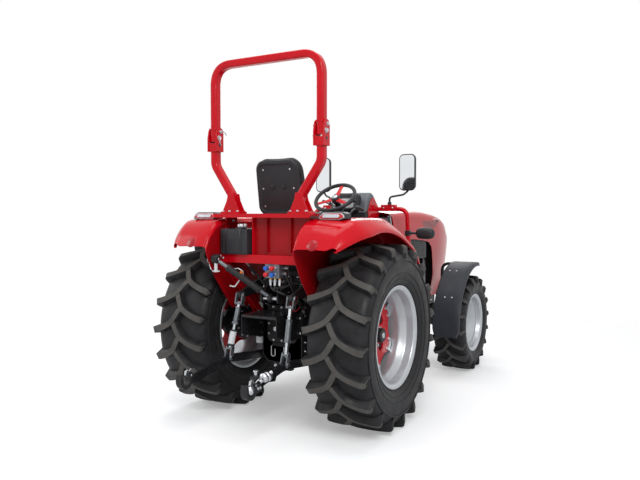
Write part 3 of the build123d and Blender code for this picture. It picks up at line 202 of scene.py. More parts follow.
# Points and places
def mm(*points):
    """Points in metres from points given in millimetres."""
    return [tuple(value / 1000 for value in point) for point in points]


def at_back(x, y, z):
    """A point given from the rear axle."""
    return Vector((x, REAR_Y + y, z))


def run(*points):
    """A route in millimetres from the rear axle."""
    return [at_back(*point) for point in mm(*points)]


def turns(count):
    """The angles of evenly spaced points on a circle."""
    return [2 * pi * k / count for k in range(count)]


def around(radius, angle, z=0.0):
    """A point on a circle about local Z."""
    return Vector((radius * cos(angle), radius * sin(angle), z))


def arc(radius, degrees, x=0.0, y=0.0):
    """Points of an arc, at angles in degrees."""
    return [(x + radius * cos(radians(a)), y + radius * sin(radians(a))) for a in degrees]


def hoop(radius, fat, count=8, height=0.0):
    """The section of a round bar bent into a ring, for a closed lathe."""
    return [(radius + fat * cos(a), height + fat * sin(a)) for a in turns(count)]


def handed(rows, sign):
    """A grid of points, with its rows turned round for the left side."""
    return rows if sign > 0 else [list(reversed(row)) for row in rows]


def sideways(x, y, z, sign=1):
    """Local X runs forward, local Y up and local Z outward, from a point."""
    return Matrix(((0, 0, sign, x), (1, 0, 0, y), (0, 1, 0, z), (0, 0, 0, 1)))


def side_on(x=0.0, sign=1):
    """The same from the rear axle's line on the ground."""
    return sideways(x, REAR_Y, 0, sign)


def pin_at(spot, x=0.0, sign=1):
    """The same about a (y, z) point given from the rear axle."""
    return side_on(x, sign) @ Matrix.Translation((*spot, 0))


def upright(x, y, z, sign=1):
    """Local X runs to the right, or to the left with sign -1, local Y up and local Z forward."""
    return Matrix(((sign, 0, 0, x), (0, 0, 1, y), (0, 1, 0, z), (0, 0, 0, 1)))


def rear_on(y):
    """Local X is to the right, local Y is up, local Z faces the rear."""
    return Matrix(((1, 0, 0, 0), (0, 0, -1, REAR_Y + y), (0, 1, 0, 0), (0, 0, 0, 1)))


def along_axis(x, z):
    """Local Z runs forward from the rear axle's plane, at this x and height."""
    return Matrix(((1, 0, 0, x), (0, 0, 1, REAR_Y), (0, -1, 0, z), (0, 0, 0, 1)))


# Shapes: each returns points and faces, and a Form gathers them
class Form:
    """Many small shapes gathered into one mesh, with one material for each."""

    def __init__(self):
        self.points, self.faces, self.paints, self.used = [], [], [], []

    def add(self, shape, paint, place=None):
        points, faces = shape
        if paint not in self.used:
            self.used.append(paint)
        start = len(self.points)
        moved = [place @ Vector(p) for p in points] if place is not None else [Vector(p) for p in points]
        self.points.extend(moved)
        self.faces.extend([start + i for i in face] for face in faces)
        self.paints.extend([self.used.index(paint)] * len(faces))
        return self

    def make(self, name, body, slot=None, stands_for=(), bevel=0.0, sharp=35.0):
        """Makes the object, rides it on its body and hides the CAD nodes that it stands for."""
        mesh = bpy.data.meshes.new(name)
        mesh.from_pydata([tuple(p) for p in self.points], [], self.faces)
        for paint in self.used:
            mesh.materials.append(paint)
        mesh.polygons.foreach_set("material_index", self.paints)
        mesh.validate()
        tidy = bmesh.new()
        tidy.from_mesh(mesh)
        bmesh.ops.remove_doubles(tidy, verts=tidy.verts, dist=1e-6)
        bmesh.ops.recalc_face_normals(tidy, faces=tidy.faces)
        tidy.to_mesh(mesh)
        tidy.free()
        mesh.shade_smooth()
        mesh.set_sharp_from_angle(angle=radians(sharp))
        piece = bpy.data.objects.new(name, mesh)
        bpy.context.scene.collection.objects.link(piece)
        if bevel:
            edge = piece.modifiers.new("edges", "BEVEL")
            edge.width = bevel
            edge.segments = 2
            edge.limit_method = "ANGLE"
            edge.angle_limit = radians(40)
            edge.use_clamp_overlap = True
            weight = piece.modifiers.new("normals", "WEIGHTED_NORMAL")
            weight.keep_sharp = True
        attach(piece, body)
        if stands_for:
            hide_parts(*stands_for)
        return piece


def loft(rings, loop=True, caps=True, closed=False):
    """Faces between rings of equally many points. closed joins the last ring to the first."""
    count = len(rings[0])
    points = [p for ring in rings for p in ring]
    faces = []
    last = len(rings) if closed else len(rings) - 1
    for i in range(last):
        near, far = i * count, ((i + 1) % len(rings)) * count
        for k in range(count if loop else count - 1):
            step = (k + 1) % count
            faces.append((near + k, near + step, far + step, far + k))
    if caps and not closed:
        faces.append(tuple(reversed(range(count))))
        faces.append(tuple(range((len(rings) - 1) * count, len(rings) * count)))
    return points, faces


def lathe(profile, segments=64, closed=False):
    """Turns (radius, height) points about local Z."""
    rings = [[(r * cos(a), r * sin(a), h) for r, h in profile] for a in turns(segments)]
    return loft(rings, loop=closed, caps=False, closed=True)


def plate(outline, low, high):
    """A plate with a flat (x, y) outline, between two heights."""
    return loft([[(x, y, low) for x, y in outline], [(x, y, high) for x, y in outline]])


def block(low, high):
    """A box between two corners."""
    (a, b, c), (d, e, f) = low, high
    return plate([(a, b), (d, b), (d, e), (a, e)], c, f)


def side_block(sign, xs, ys, zs):
    """A box on one side of the tractor, between two distances each way from the rear axle."""
    near, far = sorted(sign * x for x in xs)
    return block(at_back(near, ys[0], zs[0]), at_back(far, ys[1], zs[1]))


def round_path(points, radii, steps=6):
    """A polyline whose corners become arcs."""
    points = [Vector(p) for p in points]
    radii = [radii] * (len(points) - 2) if isinstance(radii, (int, float)) else radii
    path = [points[0]]
    for before, corner, after, radius in zip(points, points[1:], points[2:], radii):
        u, v = (before - corner).normalized(), (after - corner).normalized()
        half = u.angle(v) / 2
        if radius <= 0 or half > radians(89.5):
            path.append(corner)
            continue
        reach = min(radius / tan(half), 0.48 * (before - corner).length, 0.48 * (after - corner).length)
        for i in range(steps + 1):
            t = i / steps
            start, end = corner + u * reach, corner + v * reach
            path.append(start * (1 - t) ** 2 + corner * 2 * t * (1 - t) + end * t**2)
    path.append(points[-1])
    return path


def frames_along(path):
    """A place at each point of a path, turned as little as possible from one to the next."""
    runs = [(b - a).normalized() for a, b in zip(path, path[1:])]
    heads = [runs[0]] + [(a + b).normalized() for a, b in zip(runs, runs[1:])] + [runs[-1]]
    side = heads[0].orthogonal().normalized()
    if abs(heads[0].x) < 0.9:
        side = (Vector((1, 0, 0)) - heads[0] * heads[0].x).normalized()
    places = []
    for point, head in zip(path, heads):
        side = (side - head * side.dot(head)).normalized()
        up = head.cross(side)
        turn = Matrix((side, up, head)).transposed()
        places.append(Matrix.Translation(point) @ turn.to_4x4())
    return places


def tube(points, radius, bend=0.0, sides=14, steps=6):
    """A round bar or pipe along points, with its corners rounded. radius may be one value for each point."""
    path = round_path(points, bend, steps) if bend else [Vector(p) for p in points]
    sizes = radius if isinstance(radius, (list, tuple)) else [radius] * len(path)
    rings = []
    for place, size in zip(frames_along(path), sizes):
        rings.append([place @ around(size, a) for a in turns(sides)])
    return loft(rings)


def rounded_rectangle(width, height, radius, steps=4):
    """Points of a rectangle with round corners."""
    outline = []
    for cx, cy, start in ((1, 1, 0), (-1, 1, 90), (-1, -1, 180), (1, -1, 270)):
        for i in range(steps + 1):
            a = radians(start + 90 * i / steps)
            outline.append((cx * (width / 2 - radius) + radius * cos(a),
                            cy * (height / 2 - radius) + radius * sin(a)))
    return outline


def circle(radius, count=24, x=0.0, y=0.0):
    """Points of a circle."""
    return [(x + radius * cos(a), y + radius * sin(a)) for a in turns(count)]


def sweep(outline, points, bend=0.0, steps=8):
    """Carries a flat outline along a path."""
    path = round_path(points, bend, steps) if bend else [Vector(p) for p in points]
    return loft([[place @ Vector((x, y, 0)) for x, y in outline] for place in frames_along(path)])


def facing(origin, direction):
    """A place whose local Z looks along a direction."""
    turn = Vector(direction).to_track_quat("Z", "Y")
    return Matrix.Translation(Vector(origin)) @ turn.to_matrix().to_4x4()


def axle_place(x, y, z, sign=1):
    """A place whose local Z runs outward along the axle."""
    turn = Matrix(((0, 0, sign), (sign, 0, 0), (0, 1, 0))).to_4x4()
    return Matrix.Translation((x, y, z)) @ turn


def ball(radius, squeeze=1.0, segments=20, rows=10):
    """A ball, flattened along local Z if wanted."""
    profile = []
    for i in range(rows + 1):
        a = pi * (i / rows - 0.5)
        profile.append((max(radius * cos(a), 0.0002), radius * squeeze * sin(a)))
    return lathe(profile, segments)


def add_bolt(form, origin, direction, size, paint, washer=True):
    """A hexagon head with a chamfer, on its washer."""
    place = facing(origin, direction)
    if washer:
        form.add(lathe([(0.0004, 0.0), (size * 1.05, 0.0), (size * 1.05, size * 0.16), (0.0004, size * 0.16)], 16),
                 paint, place)
    rings = []
    for share, height in ((0.86, 0.1), (0.86, 0.62), (0.76, 0.78), (0.3, 0.82)):
        rings.append([(size * share * x, size * share * y, size * height) for x, y in circle(1.0, 6)])
    form.add(loft(rings), paint, place)


def skin(rows, thickness):
    """A closed shell from a grid of points, thickened against the grid's normals."""
    count = len(rows[0])
    fronts = [Vector(p) for row in rows for p in row]
    normals = [Vector() for _ in fronts]
    faces = []
    for i in range(len(rows) - 1):
        for k in range(count - 1):
            quad = (i * count + k, i * count + k + 1, (i + 1) * count + k + 1, (i + 1) * count + k)
            a, b, c, d = (fronts[j] for j in quad)
            normal = (c - a).cross(d - b)
            for j in quad:
                normals[j] += normal.normalized()
            faces.append(quad)
    total = len(fronts)
    backs = [p - n.normalized() * thickness for p, n in zip(fronts, normals)]
    rim = list(range(count))
    rim += [i * count + count - 1 for i in range(1, len(rows))]
    rim += [(len(rows) - 1) * count + k for k in reversed(range(count - 1))]
    rim += [i * count for i in reversed(range(1, len(rows) - 1))]
    walls = [(a, b, b + total, a + total) for a, b in zip(rim, rim[1:] + rim[:1])]
    return fronts + backs, faces + [tuple(total + j for j in reversed(face)) for face in faces] + walls


def polar_plate(radii, segments, height, thickness, skip):
    """A plate of rings about local Z. radii are functions of the angle, height of the radius."""
    angles = turns(segments)
    points = []
    for radius in radii:
        for a in angles:
            r = radius(a)
            points.append((r * cos(a), r * sin(a), height(r)))
    total = len(points)
    points += [(x, y, z - thickness) for x, y, z in points]
    kept = {(i, k) for i in range(len(radii) - 1) for k in range(segments) if not skip(i, angles[k])}
    faces = []
    for i, k in kept:
        a, b = i * segments + k, i * segments + (k + 1) % segments
        c, d = b + segments, a + segments
        faces.append((a, d, c, b))
        faces.append((total + a, total + b, total + c, total + d))
        for near, far, cell in ((a, b, (i - 1, k)), (c, d, (i + 1, k)), (d, a, (i, (k - 1) % segments)),
                                (b, c, (i, (k + 1) % segments))):
            if cell not in kept:
                faces.append((near, far, total + far, total + near))
    return points, faces


# Stage: a pale floor that fades into a white surrounding, soft lights and the camera
def pale_floor():
    """The floor's material, which fades to nothing well away from the tractor."""
    made = bpy.data.materials.new("pale_floor")
    made.use_nodes = True
    tree = made.node_tree
    tree.nodes.clear()
    out = tree.nodes.new("ShaderNodeOutputMaterial")
    matt = tree.nodes.new("ShaderNodeBsdfDiffuse")
    clear = tree.nodes.new("ShaderNodeBsdfTransparent")
    mix = tree.nodes.new("ShaderNodeMixShader")
    where = tree.nodes.new("ShaderNodeTexCoord")
    reach = tree.nodes.new("ShaderNodeVectorMath")
    reach.operation = "LENGTH"
    matt.inputs["Color"].default_value = (0.86, 0.86, 0.86, 1)
    tree.links.new(where.outputs["Object"], reach.inputs[0])
    fade = tree.nodes.new("ShaderNodeMapRange")
    fade.interpolation_type = "SMOOTHSTEP"
    fade.inputs["From Min"].default_value = 2.4
    fade.inputs["From Max"].default_value = 5.5
    tree.links.new(reach.outputs["Value"], fade.inputs["Value"])
    tree.links.new(fade.outputs["Result"], mix.inputs["Fac"])
    glow = tree.nodes.new("ShaderNodeEmission")
    rays = tree.nodes.new("ShaderNodeLightPath")
    share = tree.nodes.new("ShaderNodeMath")
    share.operation = "MULTIPLY"
    share.inputs[1].default_value = 0.30
    both = tree.nodes.new("ShaderNodeAddShader")
    tree.links.new(rays.outputs["Is Camera Ray"], share.inputs[0])
    tree.links.new(share.outputs[0], glow.inputs["Strength"])
    tree.links.new(matt.outputs["BSDF"], both.inputs[0])
    tree.links.new(glow.outputs["Emission"], both.inputs[1])
    tree.links.new(both.outputs["Shader"], mix.inputs[1])
    tree.links.new(clear.outputs["BSDF"], mix.inputs[2])
    tree.links.new(mix.outputs["Shader"], out.inputs["Surface"])
    return made


def make_stage():
    """The floor, a disc whose edge has faded away."""
    points, faces = lathe([(0.0, 0.0), (6.0, 0.0)], 64)
    mesh = bpy.data.meshes.new("floor")
    mesh.from_pydata(points, [], faces)
    mesh.materials.append(pale_floor())
    floor = bpy.data.objects.new("floor", mesh)
    bpy.context.scene.collection.objects.link(floor)


def make_world():
    """White to the camera and in reflections, and a moderate light for everything else."""
    world = bpy.data.worlds.new("surrounding")
    bpy.context.scene.world = world
    world.use_nodes = True
    tree = world.node_tree
    tree.nodes.clear()
    out = tree.nodes.new("ShaderNodeOutputWorld")
    light = tree.nodes.new("ShaderNodeBackground")
    white = tree.nodes.new("ShaderNodeBackground")
    rays = tree.nodes.new("ShaderNodeLightPath")
    mix = tree.nodes.new("ShaderNodeMixShader")
    light.inputs["Color"].default_value = (0.93, 0.96, 1.0, 1)
    light.inputs["Strength"].default_value = 0.45
    white.inputs["Color"].default_value = (1, 1, 1, 1)
    white.inputs["Strength"].default_value = 1.0
    first = tree.nodes.new("ShaderNodeMath")
    first.operation = "MAXIMUM"
    second = tree.nodes.new("ShaderNodeMath")
    second.operation = "MAXIMUM"
    tree.links.new(rays.outputs["Is Camera Ray"], first.inputs[0])
    tree.links.new(rays.outputs["Is Transmission Ray"], first.inputs[1])
    tree.links.new(first.outputs[0], second.inputs[0])
    tree.links.new(rays.outputs["Is Glossy Ray"], second.inputs[1])
    tree.links.new(second.outputs[0], mix.inputs["Fac"])
    tree.links.new(light.outputs["Background"], mix.inputs[1])
    tree.links.new(white.outputs["Background"], mix.inputs[2])
    tree.links.new(mix.outputs["Shader"], out.inputs["Surface"])


def make_light(name, place, target, size, power):
    """A large soft area light that looks at a point."""
    lamp = bpy.data.lights.new(name, "AREA")
    lamp.shape = "DISK"
    lamp.size = size
    lamp.energy = power
    light = bpy.data.objects.new(name, lamp)
    light.location = place
    light.rotation_euler = (Vector(target) - Vector(place)).to_track_quat("-Z", "Y").to_euler()
    bpy.context.scene.collection.objects.link(light)


def make_camera():
    """The photograph's viewpoint: behind, to the right, at about the height of the fenders."""
    turn, pitch = radians(29.93), radians(-2.30)
    view = Vector((-sin(turn) * cos(pitch), cos(turn) * cos(pitch), sin(pitch)))
    lens = bpy.data.cameras.new("photo_camera")
    lens.sensor_width = 36.0
    lens.lens = 36.72
    camera = bpy.data.objects.new("photo_camera", lens)
    camera.location = (2.386, -4.585, 1.377)
    camera.rotation_euler = view.to_track_quat("-Z", "Y").to_euler()
    bpy.context.scene.collection.objects.link(camera)
    bpy.context.scene.camera = camera


make_stage()
make_world()
make_light("key", (3.4, -4.6, 4.6), (0, 0, 0.9), 3.2, 190)
make_light("fill", (-4.8, -2.6, 3.0), (0, 0, 0.9), 3.5, 80)
make_light("front", (-2.6, 5.0, 3.6), (0, 0.4, 0.8), 3.5, 90)
make_light("over", (0, -0.4, 5.6), (0, 0, 0), 4.0, 100)
make_camera()
bpy.context.scene.view_settings.view_transform = "Standard"


# Tyres
def on_wheel(sign, centre, x, r, turn):
    """A point of a wheel: x outward from its centre plane, and an angle from the top towards the rear."""
    return (sign * (centre.x + x), centre.y - r * sin(turn), centre.z + r * cos(turn))


def lug_line(path, steps):
    """More stations along a lug, on a smooth line through its measured points."""
    line = []
    for i in range(len(path) - 1):
        before, start, end, after = path[max(i - 1, 0)], path[i], path[i + 1], path[min(i + 2, len(path) - 1)]
        for k in range(steps):
            t = k / steps
            point = []
            for a, b, c, d in zip(before, start, end, after):
                point.append(0.5 * (2 * b + (c - a) * t + (2 * a - 5 * b + 4 * c - d) * t**2 + (3 * b - a - 3 * c + d) * t**3))
            line.append(point)
    line.append(list(path[-1]))
    return line


def lug(sign, centre, path, start, flip, widest):
    """One bar of the tread. path has x, turn in degrees, top and foot radius, and half widths."""
    rings = []
    line = lug_line(path, 3)
    flat = [Vector((p[0], centre.z * radians(p[1]))) for p in line]
    for i, (x, turn, top, foot, narrow, wide) in enumerate(line):
        along = flat[min(i + 1, len(flat) - 1)] - flat[max(i - 1, 0)]
        along = along.normalized() if along.length > 1e-6 else Vector((1, 0))
        aside = Vector((-along.y, along.x))
        ring = []
        for share, radius, half in ((-1, foot, wide), (-1, top - 0.004, narrow), (-0.86, top, narrow),
                                    (0.86, top, narrow), (1, top - 0.004, narrow), (1, foot, wide)):
            px = min(x + aside.x * share * half, widest)
            pt = radians(turn) + aside.y * share * half / centre.z + start
            ring.append(on_wheel(sign, centre, -px if flip else px, radius, pt))
        rings.append(ring)
    return loft(rings)


def tyre(side, sign, end, centre, profile, lugs, count, starts, ridges):
    """A tyre's carcass with its tread bars and side ribs."""
    form = Form()
    whole = profile + [(-x, r) for x, r in reversed(profile[1:])]
    cad = f"{end}_tyre_{side}"
    low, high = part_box(cad)
    widest = (high.x - low.x) / 2 - 0.0005
    place = axle_place(sign * centre.x, centre.y, centre.z, sign)
    form.add(lathe([(r, x) for x, r in whole], 144, closed=True), TYRE, place)
    for flip, start in zip((False, True), starts):
        for i in range(count):
            turn = radians(start + 360.0 * i / count)
            points, faces = lug(sign, centre, lugs, turn, flip, widest)
            worn = [face for face in faces if len(face) == 4 and {i % 6 for i in face} == {2, 3}]
            form.add((points, worn), LUG_TOP)
            form.add((points, [face for face in faces if face not in worn]), TYRE)
    for x, r, size in ridges:
        for flip in (1, -1):
            form.add(lathe(hoop(r, size, 8, flip * x), 144, closed=True), TYRE, place)
    form.make(f"{end}_tread_{side}", f"{end}_wheel_{side}", "tyre_rubber", (cad,))


REAR_PROFILE = mm((0, 555), (100, 553), (150, 548), (175, 538), (190, 522), (197.5, 502), (201.5, 480), (202.5, 450),
                  (200.5, 420), (195, 390), (186, 362), (176, 344), (166.8, 334), (163.7, 329), (163.7, 305.5),
                  (120, 305.5), (120, 330))
REAR_LUG = [
    (-0.022, -1.0, 0.591, 0.545, 0.019, 0.028), (0.031, 7.1, 0.593, 0.545, 0.020, 0.030),
    (0.075, 10.1, 0.593, 0.545, 0.020, 0.031), (0.113, 11.8, 0.592, 0.543, 0.021, 0.032),
    (0.160, 13.4, 0.589, 0.535, 0.022, 0.034), (0.190, 14.1, 0.584, 0.515, 0.023, 0.035),
    (0.2035, 14.5, 0.566, 0.505, 0.024, 0.032), (0.2055, 14.6, 0.535, 0.500, 0.022, 0.026),
]
FRONT_PROFILE = mm((0, 388), (70, 387), (102, 383), (120, 373), (131, 358), (136.5, 340), (138, 320), (136, 300),
                   (131, 280), (124, 262), (117.5, 253.5), (111.7, 249.5), (111.7, 229), (80, 229), (80, 250))
FRONT_LUG = [
    (-0.015, -1.0, 0.4135, 0.380, 0.013, 0.020), (0.022, 6.6, 0.415, 0.380, 0.0135, 0.021),
    (0.052, 10.4, 0.415, 0.380, 0.014, 0.022), (0.080, 12.6, 0.414, 0.378, 0.015, 0.023),
    (0.108, 14.4, 0.4115, 0.370, 0.016, 0.024), (0.129, 15.4, 0.407, 0.352, 0.017, 0.025),
    (0.1385, 15.8, 0.394, 0.345, 0.017, 0.023), (0.1395, 16.0, 0.372, 0.342, 0.015, 0.018),
]
for side, sign in SIDES:
    tyre(side, sign, "rear", REAR, REAR_PROFILE, REAR_LUG, 19, (0.0, 9.3),
         ((0.2015, 0.4915, 0.005), (0.1995, 0.41, 0.0022), (0.1905, 0.3735, 0.0022), (0.173, 0.341, 0.003)))
    tyre(side, sign, "front", FRONT, FRONT_PROFILE, FRONT_LUG, 18, (0.0, 10.0),
         ((0.1365, 0.333, 0.003), (0.132, 0.285, 0.0018), (0.1215, 0.2575, 0.002)))


# Rims and discs
def rim(sign, centre, half, seat, flange, well):
    """A pressed rim with rolled edges, a stepped outer face and a drop centre."""
    form = Form()
    place = axle_place(sign * centre.x, centre.y, centre.z, sign)
    wall = 0.006
    outer = [
        (0.0, well), (half * 0.30, well), (half * 0.42, well + 0.006), (half * 0.56, seat - 0.012),
             (half * 0.66, seat - 0.006),
        (half - 0.020, seat - 0.002), (half - 0.013, seat + 0.004), (half - 0.0085, flange - 0.006),
             (half - 0.004, flange - 0.0005),
        (half - 0.0005, flange + 0.0005), (half, flange - 0.003),
    ]
    inner = [
        (half - 0.001, flange - 0.010), (half - 0.0045, seat + 0.002), (half - 0.010, seat - 0.006),
             (half - 0.018, seat - 0.0095),
        (half * 0.665, seat - 0.0135), (half * 0.60, seat - 0.0185), (half * 0.45, well - 0.0005),
             (half * 0.31, well - wall), (0.0, well - wall),
    ]
    mirrored = [(-x, r) for x, r in reversed(inner[:-1])] + [(-x, r) for x, r in reversed(outer[1:])]
    form.add(lathe([(r, x) for x, r in outer + inner + mirrored], 128, closed=True), SILVER, place)
    return form, place


def rear_wheel(side, sign):
    """The rim with its lugs and valve, and the lobed disc with its windows and hub."""
    body = f"rear_wheel_{side}"
    form, place = rim(sign, REAR, 0.172, 0.305, 0.329, 0.267)
    first_lobe, bolt_line, stem_turn = radians(35), 0.2195, radians(98)
    for k in range(6):
        turn = place @ Matrix.Rotation(radians(35 + 60 * k), 4, "Z")
        form.add(block((0.226, -0.042, 0.012), (0.263, 0.042, 0.022)), SILVER, turn)
        form.add(block((0.252, -0.042, -0.030), (0.263, 0.042, 0.022)), SILVER, turn)
        for aside in (-0.033, 0.033):
            add_bolt(form, turn @ Vector((bolt_line, aside, 0.012)), (sign, 0, 0), 0.0125, STEEL)
            form.add(lathe(mm((0, 10), (7, 10), (7, 24), (0, 25)), 12), STEEL,
                     turn @ Matrix.Translation((bolt_line, aside, 0.0)))
    stem = place @ Matrix.Translation(around(0.262, stem_turn, 0.035))
    form.add(lathe(mm((0, 0), (7.5, 0), (7.5, 12), (4, 16), (4, 40), (5.5, 41), (5.5, 52), (0, 53)), 12), BRASS, stem)
    form.make(f"rear_rim_face_{side}", body, "silver_paint", (f"rear_rim_{side}",), bevel=0.0012)

    disc = Form()

    def outline(a):
        """The disc's edge, with six lobes."""
        wave = cos(6 * (a - first_lobe))
        return 0.2275 + 0.0235 * copysign(abs(wave) ** 0.6, wave)

    def window(a):
        """Half the height of a window at an angle, 0 between the windows."""
        share = min(abs(degrees(a) % 90 - 45) / 16.0, 1.0)
        return 0.026 * (1 - share**4) ** 0.5

    def inside(a):
        """Whether the segment that starts at an angle lies in a window."""
        return abs(degrees(a + pi / 144) % 90 - 45) < 15.5

    radii = [
        lambda a: 0.050, lambda a: 0.072, lambda a: 0.088, lambda a: 0.122 - window(a), lambda a: 0.122 + window(a),
        lambda a: 0.165, lambda a: outline(a) - 0.012, outline,
    ]
    disc.add(polar_plate(radii, 144, lambda r: 0.012, 0.010, lambda i, a: i == 3 and inside(a)), RED, place)
    disc.add(lathe(mm((0, 0), (60, 0), (60, 14), (48, 20), (46, 64), (42, 70), (0, 70)), 48), CAST, place)
    disc.add(lathe(mm((0, 69), (19, 69), (19, 73), (0, 73.5)), 24), STEEL, place)
    disc.add(lathe(mm((0, -28), (100, -28), (100, -1), (0, -1)), 48), CAST, place)
    disc.add(lathe(mm((0, -129.7), (58, -129.7), (58, -27), (0, -27)), 48), CAST, place)
    for k in range(8):
        add_bolt(disc, place @ around(0.079, 2 * pi * (k + 0.5) / 8, 0.012), (sign, 0, 0), 0.012, STEEL)
    disc.make(f"rear_disc_face_{side}", body, "red_paint", (f"rear_disc_{side}",), bevel=0.0012)


def front_wheel(side, sign):
    """The rim with its dished disc, bolts and valve."""
    form, place = rim(sign, FRONT, 0.120, 0.2285, 0.2525, 0.1985)
    profile = mm((0, 0), (104, 0), (118, 4), (170, 66), (178, 71), (196, 71.5), (200, 60), (206, 60), (206, 78),
                 (175, 80), (166, 76.5), (113, 13), (103, 9), (60, 9), (56, 12), (50, 52), (45, 57), (20, 60),
                 (0, 60))
    shift = -0.005
    form.add(lathe([(r, x + shift) for r, x in profile], 96), SILVER, place)
    for k in range(8):
        add_bolt(form, place @ around(0.084, 2 * pi * (k + 0.5) / 8, 0.009 + shift), (sign, 0, 0), 0.011, STEEL)
    stem = place @ Matrix.Translation(around(0.187, radians(118), 0.074))
    form.add(lathe(mm((0, 0), (12, 0), (12, 3), (0, 3)), 20), BLACK, stem)
    form.add(lathe(mm((0, 2), (5, 2), (5, 22), (0, 23)), 12), STEEL, stem)
    form.make(f"front_rim_face_{side}", f"front_wheel_{side}", "silver_paint", (f"front_rim_{side}",), bevel=0.001)


for side, sign in SIDES:
    rear_wheel(side, sign)
    front_wheel(side, sign)


# Body panels
def smooth_rows(stations, steps):
    """More stations between measured ones, on smooth lines."""
    return [tuple(values) for values in lug_line(stations, steps)]


FENDER_LINE = [
    # inner y and z, ridge x, y and z, lip x, y and z, from the rear edge to the deck
    (-0.575, 1.165, 0.560, -0.575, 1.163, 0.610, -0.556, 1.163),
    (-0.540, 1.235, 0.580, -0.535, 1.226, 0.650, -0.500, 1.196),
    (-0.475, 1.303, 0.602, -0.470, 1.290, 0.690, -0.430, 1.228),
    (-0.400, 1.336, 0.622, -0.395, 1.328, 0.712, -0.365, 1.245),
    (-0.300, 1.344, 0.636, -0.300, 1.340, 0.720, -0.300, 1.254),
    (-0.200, 1.346, 0.642, -0.200, 1.344, 0.720, -0.206, 1.270),
    (-0.090, 1.346, 0.636, -0.090, 1.344, 0.720, -0.092, 1.271),
    (0.040, 1.346, 0.612, 0.030, 1.343, 0.720, 0.025, 1.256),
    (0.170, 1.346, 0.572, 0.150, 1.343, 0.720, 0.151, 1.224),
    (0.280, 1.340, 0.530, 0.260, 1.336, 0.720, 0.261, 1.178),
    (0.380, 1.318, 0.502, 0.360, 1.312, 0.718, 0.352, 1.139),
    (0.480, 1.284, 0.492, 0.460, 1.280, 0.712, 0.430, 1.085),
    (0.600, 1.232, 0.486, 0.590, 1.232, 0.704, 0.495, 1.020),
    (0.700, 1.160, 0.482, 0.695, 1.160, 0.690, 0.545, 0.955),
    (0.762, 1.060, 0.478, 0.760, 1.060, 0.670, 0.590, 0.900),
    (0.790, 0.960, 0.474, 0.790, 0.960, 0.640, 0.625, 0.872),
    (0.800, 0.872, 0.470, 0.800, 0.872, 0.610, 0.655, 0.860),
]


def rear_fender(side, sign):
    """The domed skin with its lip, the flat inner wall and its bolts, and a round reflector."""
    inner_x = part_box(f"rear_fender_{side}")[0 if sign > 0 else 1].x * sign
    rows = []
    for iy, iz, rx, ry, rz, lx, ly, lz in smooth_rows(FENDER_LINE, 3):
        run = [(inner_x, iy, iz - 0.030), (inner_x + 0.002, iy, iz - 0.012), (inner_x + 0.010, iy, iz - 0.003),
               (inner_x + 0.024, iy, iz)]
        for share in (0.35, 0.7, 0.9):
            run.append((inner_x + 0.024 + (rx - 0.02 - inner_x - 0.024) * share, iy + (ry - iy) * share,
                        iz + (rz - iz) * share + 0.003 * sin(pi * share)))
        run.append((rx - 0.014, ry, rz))
        for share, rise in ((0.10, 0.004), (0.30, 0.007), (0.6, 0.008), (0.86, 0.003), (0.97, -0.002)):
            run.append((rx + (lx - rx) * share, ry + (ly - ry) * share, rz + (lz + 0.012 - rz) * share + rise))
        run.append((lx + 0.002, ly, lz + 0.002))
        run.append((lx + 0.001, ly, lz - 0.008))
        run.append((lx - 0.005, ly, lz - 0.011))
        run.append((lx - 0.016, ly, lz - 0.006))
        rows.append([(sign * x, REAR_Y + y, z) for x, y, z in run])
    form = Form()
    form.add(skin(handed(rows, -sign), SHEET), RED)
    wall = [(y, z - 0.028) for y, z, *rest in smooth_rows(FENDER_LINE, 2)]
    wall += mm((560, 860), (300, 742), (-300, 742), (-480, 962), (-560, 1100))
    # The inner wall takes the darker red, as painted shade
    form.add(plate(wall, inner_x - 0.0005, inner_x + 0.0035), SHADED_RED, side_on(0, sign))
    rib = mm((-565, 1162), (-565, 1172), (-530, 1238), (-490, 1276))
    form.add(sweep(rounded_rectangle(0.010, 0.020, 0.004, 2), [(sign * 0.345, REAR_Y + y - 0.004, z) for y,
            z in rib]), RED)
    for y, z in ((-0.42, 1.10), (-0.30, 1.16), (0.2, 1.2), (0.45, 1.05)):
        add_bolt(form, (sign * (inner_x - 0.001), REAR_Y + y, z), (-sign, 0, 0), 0.010, STEEL)
    lens = facing((sign * 0.456, REAR_Y - 0.560, 1.190), (0, -0.82, 0.50))
    form.add(lathe(mm((0, 0), (36, 0), (36, 6), (33, 9), (0, 11.5)), 40), REFLECTOR, lens)
    form.make(f"fender_{side}", "chassis", "red_paint", (f"rear_fender_{side}",), sharp=50)


